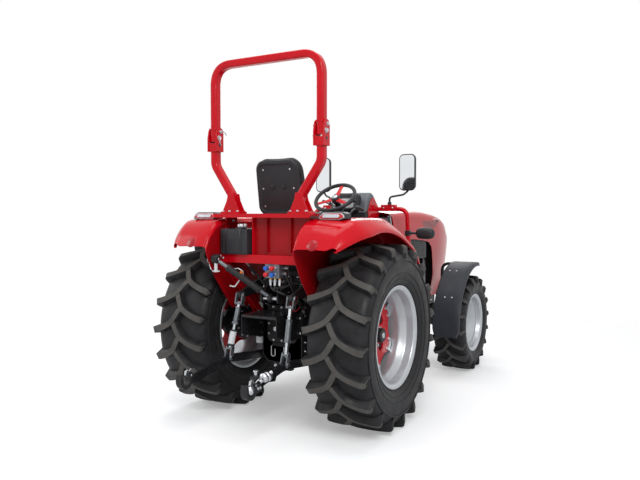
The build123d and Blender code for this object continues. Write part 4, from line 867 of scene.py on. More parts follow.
def front_fender(side, sign):
    """A curved blade with turned edges on its tubular stay."""
    form = Form()
    blade, stay = 0.530, 0.515
    low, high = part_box(f"front_fender_{side}")
    inner, outer = (low.x, high.x) if sign > 0 else (-high.x, -low.x)
    inner = max(inner, FRONT_X - 0.075)
    rows = []
    for i in range(49):
        a = radians(78 + 108 * i / 48)
        end = min(i, 48 - i)
        round_in = 0.0 if end > 3 else (0.022, 0.012, 0.005, 0.001)[end]
        row = []
        for x, drop in ((inner + round_in, 0.022), (inner + round_in, 0.004), (inner + 0.006 + round_in, 0.0),
                        (inner + 0.05, 0.0), (inner + 0.11, 0.0),
                        (outer - 0.05, 0.0), (outer - 0.012 - round_in, 0.0), (outer - 0.003 - round_in, 0.003),
                        (outer - round_in, 0.012), (outer - round_in, 0.026)):
            r = blade - drop
            row.append((sign * x, FRONT_Y - r * sin(a - pi / 2), FRONT_R + r * cos(a - pi / 2)))
        rows.append(row)
    form.add(skin(handed(rows, sign), 0.005), SATIN)
    for a, x in ((93, 0.585), (93, 0.645), (118, 0.555), (118, 0.615), (150, 0.585), (150, 0.645)):
        t = radians(a - 90)
        spot = (sign * x, FRONT_Y - blade * sin(t), FRONT_R + blade * cos(t))
        add_bolt(form, spot, (0, -sin(t), cos(t)), 0.009, STEEL)
    stay_x = KINGPIN_X + 0.008
    top = FRONT_R + 0.516
    bar = [(sign * x, FRONT_Y - 0.030, z) for x, z in ((stay_x, 0.5115), (stay_x, top), (outer - 0.06, top))]
    form.add(tube(bar, 0.013, 0.07), BLACK)
    line = [(sign * 0.61, FRONT_Y - stay * sin(t), FRONT_R + stay * cos(t)) for t in map(radians, range(-2, 75, 6))]
    form.add(sweep(rounded_rectangle(0.040, 0.008, 0.003, 2), line), BLACK)
    form.make(f"front_fender_blade_{side}", f"knuckle_{side}", "black_plastic", (f"front_fender_{side}",))


for side, sign in SIDES:
    rear_fender(side, sign)
    front_fender(side, sign)


# Roll bar
def roll_bar():
    """The folding hoop with its hinge tongues, and the fixed posts with their brackets."""
    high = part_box("rops_upper")[1]
    bar_x, top = high.x - 0.025, high.z - 0.025
    section, ear_x = rounded_rectangle(0.050, 0.062, 0.014, 4), 0.0365
    bar_y, foot, hinge = REAR_Y - 0.368, 1.378, 1.880
    hoop = Form()
    path = [(-bar_x, bar_y, hinge - 0.024), (-bar_x, bar_y, top), (bar_x, bar_y, top), (bar_x, bar_y, hinge - 0.024)]
    hoop.add(sweep(section, path, 0.135, 16), RED)
    for sign in (-1, 1):
        hoop.add(block((sign * bar_x - 0.028, bar_y - 0.033, hinge + 0.052),
                       (sign * bar_x + 0.028, bar_y + 0.033, hinge + 0.064)), RED)
    hoop.make("roll_hoop", "roll_bar_top", "red_paint", ("rops_upper",), bevel=0.001)

    posts = Form()
    for sign in (-1, 1):
        x, foot_x = sign * bar_x, sign * POST_X
        line = [(foot_x, bar_y, foot), (foot_x, bar_y, foot + 0.110), (x, bar_y, 1.700), (x, bar_y, hinge - 0.035)]
        posts.add(sweep(section, line, 0.09, 12), RED)
        posts.add(plate(rounded_rectangle(0.150, 0.104, 0.012), 0.0, 0.013), RED,
                  Matrix.Translation((foot_x, bar_y, foot)))
        for dx, dy in ((-0.058, -0.036), (0.058, -0.036), (-0.058, 0.036), (0.058, 0.036), (0.0, -0.043)):
            add_bolt(posts, (foot_x + dx, bar_y + dy, foot + 0.013), (0, 0, 1), 0.011, STEEL)
            add_bolt(posts, (foot_x + dx, bar_y + dy, 1.366), (0, 0, -1), 0.011, STEEL)
        for dy in (-0.0315, 0.0265):
            gusset = mm((-70, 12), (70, 12), (34, 85), (24, 130), (-24, 130), (-34, 85))
            posts.add(plate(gusset, 0.0, 0.005), RED, upright(foot_x, bar_y + dy, foot))
        collar = mm((-40, -90), (36, -90), (36, -36), (-40, -36))
        flank = sideways(x, bar_y, hinge)
        posts.add(plate(collar, -0.036, 0.036), RED, flank)
        for ear in (-1, 1):
            near, far = ear * 0.0275, ear * ear_x
            step = mm((-44, -90), (36, -90), (36, 10))
            step += arc(0.036, range(0, 181, 20), 0.0, 0.034) + [(-0.044, 0.0)]
            posts.add(plate(step, min(near, far), max(near, far)), RED, flank)
            add_bolt(posts, (x + far, bar_y - 0.012, hinge), (ear, 0, 0), 0.016, STEEL)
            add_bolt(posts, (x + far, bar_y + 0.008, hinge + 0.042), (ear, 0, 0), 0.012, STEEL)
            slot_place = flank @ Matrix.Translation((-0.004, -0.045, far))
            posts.add(lathe(mm((0, -1), (11, -1), (11, 1), (0, 1)), 20), BLACK, slot_place)
        inside = x - sign * ear_x
        for size, wire in ((0.0035, ((0.0, 0.008, 0.042), (0.030, 0.008, 0.042), (0.030, 0.030, 0.020))),
                           (0.0025, ((0.012, -0.012, -0.002), (0.014, -0.022, -0.03), (0.012, -0.004, -0.050)))):
            posts.add(tube([(inside - sign * u, bar_y + v, hinge + w) for u, v, w in wire], size, 0.008), STEEL)
    posts.make("roll_posts", "chassis", "red_paint", ("rops_lower",), bevel=0.0012)


roll_bar()


# Hood
HOOD_LOW = mm((900, 1168), (1420, 1158), (1630, 1145), (1800, 1125), (1870, 1095), (1920, 1020), (1960, 930),
              (2000, 830), (2050, 730), (2100, 650), (2160, 595), (2220, 585), (2500, 585))
HOOD_TOP = mm((950, 1388), (1250, 1398), (1500, 1402), (1750, 1398), (2000, 1376), (2200, 1345), (2330, 1310),
              (2410, 1255), (2460, 1190))


def level(line, y):
    """The height of a line of (y, z) points, y from the rear axle."""
    for (a, b), (c, d) in zip(line, line[1:]):
        if a <= y <= c:
            return b + (d - b) * (y - a) / (c - a)
    return line[-1][1]


def hood_half(y):
    """The hood's half width, which narrows towards the nose."""
    share = max(0.0, (y - 2.0) / 0.45)
    return 0.284 - 0.004 * (y - 1.0) - 0.045 * share**2.2


def hood_bulge(z):
    """How far the hood's side swells at a height."""
    return 0.012 * sin(pi * min(max((z - 0.98) / 0.36, 0), 1))


def hood_ring(y):
    """Points of the hood's section at a station, from the right lower edge over the top to the left one."""
    top, half, low = level(HOOD_TOP, y), hood_half(y), level(HOOD_LOW, y)
    side = []
    for share in (0.0, 0.12, 0.25, 0.4, 0.55, 0.7, 0.82, 0.91, 0.96):
        z = low + (top - 0.075 - low) * share
        slope = max(0.0, 0.98 - z) * 0.12 + max(0.0, 0.80 - z) * 0.25 * (1.0 if y < 2.2 else max(0.0,
                1 - (y - 2.2) / 0.2))
        side.append((half + hood_bulge(z) - 0.012 - slope, z))
    for a in range(0, 91, 15):
        t = radians(a)
        side.append((half - 0.062 + 0.050 * cos(t) + 0.002, top - 0.062 + 0.050 * sin(t)))
    side += [(half - 0.11, top - 0.004), (half - 0.17, top)]
    ring = side + [(0.0, top + 0.004)]
    return ring + [(-x, z) for x, z in reversed(side)]


def side_patch(form, sign, upper, lower, paint, proud=0.0035):
    """A thin plate laid on the hood's side between two lines of (y, z)."""
    rows = []
    for (y, z), (y2, z2) in zip(upper, lower):
        row = []
        for share in (0.0, 0.33, 0.67, 1.0):
            py, pz = y + (y2 - y) * share, z + (z2 - z) * share
            row.append((sign * (hood_half(py) + hood_bulge(pz) - 0.012 + proud), REAR_Y + py, pz))
        rows.append(row)
    form.add(skin(handed(rows, sign), SHEET), paint)


def hood():
    """The red panels with their dark patches and lines, and the louvred screens below them."""
    form = Form()
    rows = []
    stations = [1.0, 1.1, 1.25, 1.4, 1.55, 1.7, 1.76, 1.82, 1.88, 1.92, 1.96, 2.0, 2.04, 2.08, 2.13, 2.2, 2.28, 2.34,
                2.38, 2.41, 2.428, 2.44]
    for y in stations:
        row = []
        for x, z in hood_ring(y):
            lean = max(0.0, min(1.0, (1.35 - z) / 0.365)) * 0.086 * max(0.0, (1.7 - y) / 0.7)
            row.append((x, REAR_Y + y + lean, z))
        rows.append(row)
    form.add(skin(rows, SHEET), RED)
    front, foot = REAR_Y + 2.442, 0.585
    rows = []
    for share, depth in ((1.0, 0.0), (0.985, 0.006), (0.95, 0.010), (0.86, 0.012)):
        shrink, lift = 1 - (1 - share) * 0.8, 0.02 * (1 - share)
        rows.append([(x * share, front - 0.004 + depth * 0.25, foot + (z - foot) * shrink + lift) for x,
                     z in hood_ring(2.44)])
    form.add(skin(list(reversed(rows)), SHEET), RED)
    for sign in (-1, 1):
        side_patch(form, sign, mm((1632, 1304), (1750, 1314), (1900, 1319), (2095, 1318)),
                   mm((1695, 1240), (1800, 1243), (1900, 1246), (2009, 1252)), PLASTIC)
        for k in range(7):
            near, z, far = 1.70 - 0.008 * k, 1.249 + 0.0095 * k, 2.0 + 0.010 * k
            side_patch(form, sign, [(near, z + 0.004), (1.85, z + 0.006), (far, z + 0.006)],
                       [(near, z), (1.85, z + 0.002), (far, z + 0.002)], BLACK, 0.0055)
        side_patch(form, sign, mm((1600, 1337.5), (1800, 1336.5), (1980, 1332), (2115, 1325)),
                   mm((1630, 1325), (1800, 1328), (1980, 1326), (2100, 1321)), LENS)
        side_patch(form, sign, mm((1070, 1312), (1115, 1245), (1150, 1180)),
                   mm((1012, 1312), (1058, 1245), (1092, 1180)), GREY)
        side_patch(form, sign, mm((1200, 1292), (1320, 1300), (1460, 1304), (1560, 1300)),
                   mm((1210, 1264), (1320, 1270), (1460, 1273), (1545, 1276)), GREY)
        screen = [[(sign * (0.268 - 0.006 * (z - 1.06)), REAR_Y + y, z) for z in (0.982, 1.02, 1.06, 1.10, 1.14,
                1.172)] for y in (1.03, 1.20, 1.35, 1.50, 1.65, 1.775)]
        form.add(skin(handed(screen, sign), 0.003), PLASTIC)
        for k in range(9):
            z = 0.997 + 0.0178 * k
            slat = mm((0, 0), (5.5, 2), (6.2, 8.5), (0, 12.5))
            for far, near in ((-1.745 if k < 6 else -1.70, -1.46), (-1.43, -1.12)):
                form.add(plate([(sign * (0.2695 + u), z + v) for u, v in slat], far, near), PLASTIC, rear_on(0.0))
    form.make("hood_panels", "hood", "red_paint", ("hood_shell",), sharp=40)


def nose_face():
    """Grille with its bars, lamps and surround, all on the hood."""
    form = Form()
    front = REAR_Y + 2.437
    form.add(block((-0.215, front - 0.012, 0.60), (0.215, front - 0.006, 1.21)), PLASTIC)
    for k in range(22):
        z = 0.64 + 0.0205 * k
        form.add(sweep(mm((0, -3), (10, -2), (10, 2), (0, 3)),
                       [(-0.185, front - 0.004, z), (0.185, front - 0.004, z)]), PLASTIC)
    for x in (-0.19, -0.065, 0.065, 0.19):
        form.add(block((x - 0.006, front - 0.006, 0.62), (x + 0.006, front + 0.004, 1.09)), PLASTIC)
    form.add(block((-0.20, front - 0.006, 1.085), (0.20, front + 0.003, 1.105)), SILVER)
    for sign in (-1, 1):
        lens = mm((50, 1125), (205, 1150), (212, 1185), (150, 1185), (60, 1160))
        form.add(plate(lens, -0.004, 0.002), LENS, upright(0, front, 0, sign))
        for x in (0.095, 0.135, 0.175):
            form.add(lathe(mm((0, 0), (13, 0), (13, 4), (0, 6)), 20), WHITE,
                     facing((sign * x, front + 0.001, 1.154 + (x - 0.09) * 0.14), (0, 1, 0)))
    form.make("nose_grille", "hood", "black_plastic", ("hood_grille",))


hood()
nose_face()


# Lamps, handrails and mirrors
def tail_lamps():
    """Faceted lamps: black housing, silver trim, red border and a pale lens."""
    form = Form()
    for sign in (-1, 1):
        back = REAR_Y - 0.400
        for width, low, high, depth, paint, inset in ((0.190, 1.335, 1.388, 0.088, PLASTIC, 0.0),
                                                      (0.182, 1.341, 1.384, 0.090, SILVER, 0.0015),
                                                      (0.174, 1.345, 1.380, 0.091, LAMP_RED, 0.0030)):
            shape = [(-width / 2, low + 0.010), (-width / 2 + 0.02, low), (width / 2 - 0.03, low),
                     (width / 2, low + 0.012),
                     (width / 2 - 0.006, high - 0.012), (width / 2 - 0.03, high), (-width / 2 + 0.022, high),
                     (-width / 2 + 0.004, high - 0.012)]
            turn = upright(sign * TAIL_LAMP_X, back, 0, sign)
            rings = []
            middle_z = (low + high) / 2
            for y, grow in ((-inset, 0.95), (0.008 - inset, 1.0), (depth, 1.0)):
                rings.append([turn @ Vector((x * grow, middle_z + (z - middle_z) * grow,
                                             y + (0.016 if z > middle_z and y < 0.05 else 0.0))) for x, z in shape])
            form.add(loft(rings), paint)
        lens = mm((-55, 1352), (50, 1352), (58, 1362), (50, 1373), (-52, 1373), (-60, 1362))
        rings = []
        for out in (0.006, -0.0012):
            rings.append([(sign * (TAIL_LAMP_X + x), back - 0.003 - out * 0.6 + (z - 1.352) * 0.42,
                           z + out * 0.2) for x, z in lens])
        form.add(loft(rings), LENS)
        form.add(tube([at_back(sign * TAIL_LAMP_X, -0.34, 1.338), at_back(sign * TAIL_LAMP_X, -0.30, 1.336)], 0.006),
                 HOSE)
    form.make("tail_lamp_pair", "chassis", "lamp_red", ("tail_lamps",), bevel=0.002)


def hand_rails():
    """Bent rails beside the cowl, on their brackets and feet."""
    form = Form()
    rail_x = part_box("handrails")[1].x - 0.017
    for sign in (-1, 1):
        points = [(sign * 0.168, REAR_Y + 0.961, 1.415), (sign * rail_x, REAR_Y + 0.961, 1.415),
                  (sign * rail_x, REAR_Y + 1.0173, 0.880), (sign * rail_x, REAR_Y + 1.0173, 0.792)]
        form.add(tube(points, 0.017, [0.075, 0.2], 20, 12), RED)
        form.add(block((sign * 0.265 - 0.060, REAR_Y + 0.937, 1.398), (sign * 0.265 + 0.060, REAR_Y + 0.984, 1.448)),
                 RED)
        form.add(block((sign * rail_x - 0.022, REAR_Y + 0.994, 0.790),
                       (sign * rail_x + 0.022, REAR_Y + 1.040, 0.806)), RED)
        for dx in (-0.04, 0.04):
            add_bolt(form, (sign * 0.265 + dx, REAR_Y + 0.937, 1.423), (0, -1, 0), 0.0085, STEEL)
    form.make("hand_rails", "chassis", "red_paint", ("handrails",), bevel=0.002)


def mirror_pair():
    """Mirrors on bent stalks."""
    form = Form()
    for sign in (-1, 1):
        stalk = [(sign * 0.270, REAR_Y + 0.960, 1.449), (sign * 0.270, REAR_Y + 0.960, 1.510),
                 (sign * 0.355, REAR_Y + 1.040, 1.530),
                 (sign * MIRROR_X, REAR_Y + 1.060, 1.560), (sign * MIRROR_X, REAR_Y + 1.078, 1.62)]
        form.add(tube(stalk, 0.008, 0.026, 14, 8), PLASTIC)
        form.add(lathe(mm((0, 0), (16, 0), (16, 18), (10, 24), (0, 24)), 24), PLASTIC,
                 Matrix.Translation((sign * 0.270, REAR_Y + 0.960, 1.448)))
        place = upright(sign * MIRROR_X, REAR_Y + 1.040, 1.7075)
        rings = []
        for width, height, radius, depth in ((0.124, 0.276, 0.030, 0.0015), (0.128, 0.280, 0.034, 0.0),
                                             (0.138, 0.290, 0.038, 0.002), (0.140, 0.292, 0.040, 0.010),
                                             (0.134, 0.286, 0.040, 0.026), (0.110, 0.250, 0.045, 0.038),
                                             (0.06, 0.16, 0.028, 0.0418)):
            rings.append([(x, y, depth) for x, y in rounded_rectangle(width, height, radius, 6)])
        form.add(loft(rings), PLASTIC, place)
        rings = [[(x, y, z) for x, y in rounded_rectangle(0.122, 0.274, 0.030, 6)] for z in (0.0012, -0.0006)]
        form.add(loft(rings), MIRROR, place)
    form.make("mirror_heads", "chassis", "black_plastic", ("mirrors",))


def turn_lamp_pair():
    """Turn lamps on short arms beside the fenders' fronts."""
    form = Form()
    low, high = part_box("turn_lamps")
    y, z = (low.y + high.y) / 2, 1.225
    for sign in (-1, 1):
        place = sideways(sign * TURN_LAMP_X, y, z, sign)
        rings = []
        for x, width, height in ((-0.073, 0.030, 0.040), (-0.066, 0.050, 0.062), (-0.050, 0.068, 0.082),
                                 (-0.020, 0.074, 0.090), (0.020, 0.075, 0.091),
                                 (0.050, 0.066, 0.080), (0.066, 0.048, 0.060), (0.074, 0.022, 0.030)):
            rings.append([(px, py, x) for px, py in rounded_rectangle(width, height, min(width, height) * 0.46, 6)])
        form.add(loft(rings), PLASTIC, place)
        rings = []
        for out, grow in ((0.0, 0.0), (0.0022, 0.006)):
            lens = rounded_rectangle(0.100 - grow, 0.056 - grow, 0.024, 5)
            rings.append([(sign * (TURN_LAMP_X + px), y + (0.0335 + out), z + pz) for px, pz in lens])
        form.add(loft(rings), AMBER)
        form.add(tube([(sign * 0.4375, y, z), (sign * 0.500, y, z)], 0.009), PLASTIC)
        form.add(block((sign * 0.420 - 0.020, y - 0.021, 1.205), (sign * 0.420 + 0.020, y + 0.021, 1.245)), PLASTIC)
    form.make("turn_lamp_pair", "chassis", "black_plastic", ("turn_lamps",), bevel=0.002)


tail_lamps()
hand_rails()
mirror_pair()
turn_lamp_pair()


# Steering wheel, cowl and dash
TILT = radians(40)
HUB = Vector((0.0, REAR_Y + 0.550, 1.500))
COLUMN = Vector((0.0, -sin(TILT), cos(TILT)))


def steering_wheel():
    """The wheel's rim, its three spokes and its boss."""
    form = Form()
    turn = Matrix(((1, 0, 0), (0, cos(TILT), -sin(TILT)), (0, sin(TILT), cos(TILT)))).to_4x4()
    place = Matrix.Translation(HUB) @ turn
    form.add(lathe(hoop(0.155, 0.0145, 16), 96, closed=True), PLASTIC, place)
    for k in range(3):
        spoke = place @ Matrix.Rotation(radians(90 + 120 * k), 4, "Z")
        rings = []
        for r, half, z, thick in ((0.020, 0.020, -0.010, 0.007), (0.060, 0.017, -0.008, 0.006),
                                  (0.105, 0.013, -0.004, 0.006), (0.150, 0.016, -0.001, 0.006)):
            rings.append([(r, w * half, z + h * thick) for w, h in ((-1, -0.5), (1, -0.5), (1, 0.3), (0.7, 0.6),
                    (-0.7, 0.6), (-1, 0.3))])
        form.add(loft(rings), RED, spoke)
    form.add(lathe(mm((0, -44), (26, -44), (33, -30), (34, -4), (30, 4), (24, 8), (0, 10)), 40), PLASTIC, place)
    form.add(lathe(mm((0, 9.5), (21, 8.5), (21, 12), (16, 14.5), (0, 15)), 40), SILVER, place)
    form.make("steering_wheel_rim", "steering_wheel", "black_plastic", ("steering_wheel",))


def across(outline, half, rounding, steps=4):
    """A (y, z) outline carried across the tractor, its ends drawn in by a rounding."""
    cy = sum(y for y, z in outline) / len(outline)
    cz = sum(z for y, z in outline) / len(outline)
    rings = []
    for i in range(2 * steps + 2):
        end = i if i <= steps else 2 * steps + 1 - i
        a = pi / 2 * end / steps
        x = half - rounding + rounding * cos(a)
        inset = rounding * (1 - sin(a))
        ring = []
        for y, z in outline:
            away = Vector((y - cy, z - cz))
            share = max(0.0, 1 - inset / away.length)
            ring.append(((x if i > steps else -x), REAR_Y + cy + away.x * share, cz + away.y * share))
        rings.append(ring)
    return loft(rings)


def cowl():
    """The cowl's lower and upper halves with red cheeks, column, levers, ears and trim."""
    form = Form()
    lower = mm((782, 884), (768, 1100), (776, 1200), (752, 1360), (768, 1400), (972, 1400), (977, 884))
    form.add(across(lower, 0.163, 0.018), PLASTIC)
    upper = mm((748, 1385), (772, 1455), (800, 1500), (838, 1536), (868, 1545), (900, 1530), (975, 1448), (977, 1385))
    form.add(across(upper, 0.165, 0.030), GREY)
    for sign in (-1, 1):
        cheek = mm((800, 1300), (782, 1400), (830, 1485), (870, 1505), (900, 1492), (974, 1425), (976, 1300))
        form.add(plate(cheek, 0.135, 0.1695), RED, side_on(0, sign))
        for k in range(5):
            form.add(block((sign * 0.1655 - 0.002, REAR_Y + 0.82, 1.00 + 0.035 * k),
                           (sign * 0.1655 + 0.002, REAR_Y + 0.93, 1.012 + 0.035 * k)), CAST)
    form.add(tube([HUB - COLUMN * 0.330, HUB - COLUMN * 0.12], 0.030, 0, 24), PLASTIC)
    form.add(tube([HUB - COLUMN * 0.13, HUB - COLUMN * 0.0455], 0.024, 0, 24), BLACK)
    lower_boot = facing(HUB - COLUMN * 0.24, COLUMN)
    form.add(lathe(mm((0, -30), (52, -30), (54, -10), (46, 0), (48, 12), (41, 22), (42, 34), (36, 44), (0, 48)), 32),
             HOSE, lower_boot)
    for sign in (-1, 1):
        stick = [HUB - COLUMN * down + Vector((sign * x, rise, rise)) for down, x,
                 rise in ((0.10, 0, 0), (0.085, 0.07, 0.01), (0.06, 0.135, 0.02))]
        form.add(tube(stick, 0.005, 0.03), BLACK)
        form.add(ball(0.013, 1.0, 16, 8), PLASTIC, Matrix.Translation(stick[-1]))
    for sign in (-1, 1):
        flank = side_on(0, sign)
        ear = mm((974, 1252), (976, 1287), (1018, 1315), (1018, 1366), (1042, 1366), (1042, 1297))
        form.add(plate(ear, 0.1205, 0.1275), BLACK, flank)
        form.add(tube([(sign * 0.1205, REAR_Y + 1.030, 1.360), (sign * 0.1455, REAR_Y + 1.030, 1.360)], 0.008), STEEL)
        trim = mm((952, 1356), (985, 1362), (1060, 1130), (1098, 985), (1062, 983))
        form.add(plate(trim, 0.255, 0.272), GREY, flank)
        strip = mm((968, 1346), (976, 1346), (1052, 1120), (1084, 995), (1076, 995))
        form.add(plate(strip, 0.2715, 0.2745), WHITE, flank)
        form.add(side_block(sign, (0.16, 0.258), (0.945, 0.965), (1.29, 1.345)), GREY)
        form.add(side_block(sign, (0.16, 0.258), (0.955, 0.975), (0.90, 1.29)), CAST)
    form.make("dash_housing", "chassis", "grey_plastic", ("dash_cowl",), bevel=0.003)


def instruments():
    """The cluster's binnacle, its pale dial face, a rocker row and a hood over it."""
    form = Form()
    back = mm((676, 1402), (694, 1500), (728, 1536), (765, 1530), (790, 1504), (742, 1392))
    form.add(across(back, 0.110, 0.016), PLASTIC)
    face = facing((0.0, REAR_Y + 0.6875, 1.458), (0, -0.985, 0.17))
    rings = [[(x, y, z) for x, y in rounded_rectangle(0.200 - g, 0.088 - g, 0.02, 5)] for z,
             g in ((-0.002, 0.0), (0.006, 0.0), (0.008, 0.006))]
    form.add(loft(rings), GREY, face)
    rings = [[(x, y, z) for x, y in rounded_rectangle(0.180, 0.072, 0.015, 5)] for z in (0.006, 0.0092)]
    form.add(loft(rings), WHITE, face)
    for x, r in ((-0.042, 0.022), (0.010, 0.024), (0.054, 0.014)):
        spot = face @ Matrix.Translation((x, 0.0, 0.0))
        form.add(lathe([(r - 0.002, 0.0085), (r + 0.0015, 0.0085), (r + 0.0015, 0.0115), (r - 0.002, 0.0115)], 32,
                       closed=True), STEEL, spot)
        form.add(lathe(mm((0, 9), (3.5, 9), (3.5, 12), (0, 12.5)), 12), BLACK, spot)
        form.add(block((-0.0008, 0.0, 0.0095), (0.0008, r * 0.8, 0.0108)), RED,
                 spot @ Matrix.Rotation(0.7 if x < 0 else -0.5, 4, "Z"))
        for k in range(9):
            tick = spot @ Matrix.Rotation(radians(-120 + 30 * k), 4, "Z")
            form.add(block((-0.0006, r * 0.80, 0.0088), (0.0006, r * 0.94, 0.0098)), BLACK, tick)
    for k in range(4):
        form.add(block((-0.012, -0.008, 0.0), (0.012, 0.008, 0.008)), PLASTIC,
                 facing((-0.06 + 0.04 * k, REAR_Y + 0.681, 1.413), (0, -1, 0.1)))
    form.make("instrument_cluster", "chassis", "black_plastic", ("instrument_panel",), bevel=0.0015)


steering_wheel()
cowl()
instruments()


# Seat
def pad(name, rings, cap, seams):
    """A padded piece: swelled by a short cloth simulation, then its seams drawn in."""
    points, faces = loft(rings)
    mesh = bpy.data.meshes.new(name)
    mesh.from_pydata([tuple(p) for p in points], [], faces)
    mesh.materials.append(VINYL)
    piece = bpy.data.objects.new(name, mesh)
    bpy.context.scene.collection.objects.link(piece)
    remesh = piece.modifiers.new("even", "REMESH")
    remesh.mode = "VOXEL"
    remesh.voxel_size = 0.006
    swap_mesh(piece)
    rest = [v.co.copy() for v in piece.data.vertices]
    cloth = piece.modifiers.new("cloth", "CLOTH")
    cloth.settings.quality = 4
    cloth.settings.use_pressure = True
    cloth.settings.uniform_pressure_force = 4.0
    cloth.settings.effector_weights.gravity = 0.0
    cloth.point_cache.frame_start = 1
    cloth.point_cache.frame_end = 20
    for step in range(1, 21):
        bpy.context.scene.frame_set(step)
    swap_mesh(piece)
    for vertex, start in zip(piece.data.vertices, rest):
        move = vertex.co - start
        if move.length > cap:
            vertex.co = start + move.normalized() * cap
    bpy.context.scene.frame_set(1)
    for vertex in piece.data.vertices:
        vertex.co = seams(vertex.co.copy())
    piece.data.shade_smooth()
    fine = piece.modifiers.new("smooth", "SUBSURF")
    fine.levels = fine.render_levels = 1
    return piece


def swap_mesh(piece):
    """Applies a piece's modifiers."""
    graph = bpy.context.evaluated_depsgraph_get()
    made = bpy.data.meshes.new_from_object(piece.evaluated_get(graph))
    piece.modifiers.clear()
    piece.data = made


def groove(distance, width, depth):
    """How far a sewn channel draws the cover in at a distance from its line."""
    return depth * exp(-((distance / width) ** 2))


def seat_cushion():
    """The cushion, with sewn channels across its middle and raised sides."""
    low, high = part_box("seat_cushion")
    cy = (low.y + high.y) / 2
    width, length = high.x - low.x - 0.012, high.y - low.y - 0.012
    rings = []
    for z, inset in ((0.002, 0.020), (0.006, 0.008), (0.016, 0.002), (0.040, 0.0), (0.062, 0.002), (0.076, 0.010),
                     (0.084, 0.024), (0.087, 0.05)):
        rings.append([(x, cy + y, low.z + z) for x, y in rounded_rectangle(width - 2 * inset, length - 2 * inset,
                0.060 - inset * 0.5, 8)])

    def seams(p):
        if p.z < low.z + 0.05:
            return p
        side = abs(p.x) - 0.140
        pull = groove(side, 0.006, 0.008)
        rise = 0.012 * max(0.0, min(1.0, (abs(p.x) - 0.13) / 0.05))
        for line in (-0.07, 0.03, 0.12):
            if abs(p.x) < 0.140:
                pull = max(pull, groove(p.y - cy - line, 0.006, 0.006))
        p.z += rise * 0.5 - pull - 0.003
        return p

    piece = pad("seat_pad", rings, 0.012, seams)
    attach(piece, "chassis")
    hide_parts("seat_cushion")


LEAN = radians(12)
BACK_UP = Vector((0.0, -sin(LEAN), cos(LEAN)))
BACK_OUT = Vector((0.0, -cos(LEAN), -sin(LEAN)))


def seat_place(height, out):
    """A place on the seat's back: local X across, Y up the back, Z to the rear."""
    turn = Matrix((Vector((-1, 0, 0)), BACK_UP, BACK_OUT)).transposed().to_4x4()
    origin = Vector((0.0, REAR_Y - 0.160, 1.290)) + BACK_UP * height + BACK_OUT * out
    return Matrix.Translation(origin) @ turn


def seat_back():
    """The back's pad, narrower towards its top, with sewn channels."""
    place = seat_place(0.285, 0.0)
    rings = []
    for z, inset in ((-0.003, 0.022), (-0.010, 0.008), (-0.022, 0.003), (-0.040, 0.003), (-0.053, 0.012),
                     (-0.060, 0.030)):
        ring = []
        for x, y in rounded_rectangle(0.398 - 2 * inset, 0.360 - 2 * inset, 0.085 - inset * 0.5, 8):
            taper = 1.0 - 0.10 * max(0.0, (y + 0.02) / 0.18)
            ring.append(place @ Vector((x * taper, y, z)))
        rings.append(ring)
    back = place.inverted()

    def seams(p):
        q = back @ p
        if q.z > -0.035:
            return p
        pull = groove(abs(q.x) - 0.125, 0.006, 0.007)
        for line in (-0.09, 0.0, 0.09):
            if abs(q.x) < 0.125:
                pull = max(pull, groove(q.y - line, 0.006, 0.005))
        q.z += pull + 0.002
        return place @ q

    piece = pad("seat_back_pad", rings, 0.010, seams)
    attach(piece, "chassis")
    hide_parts("seat_back")


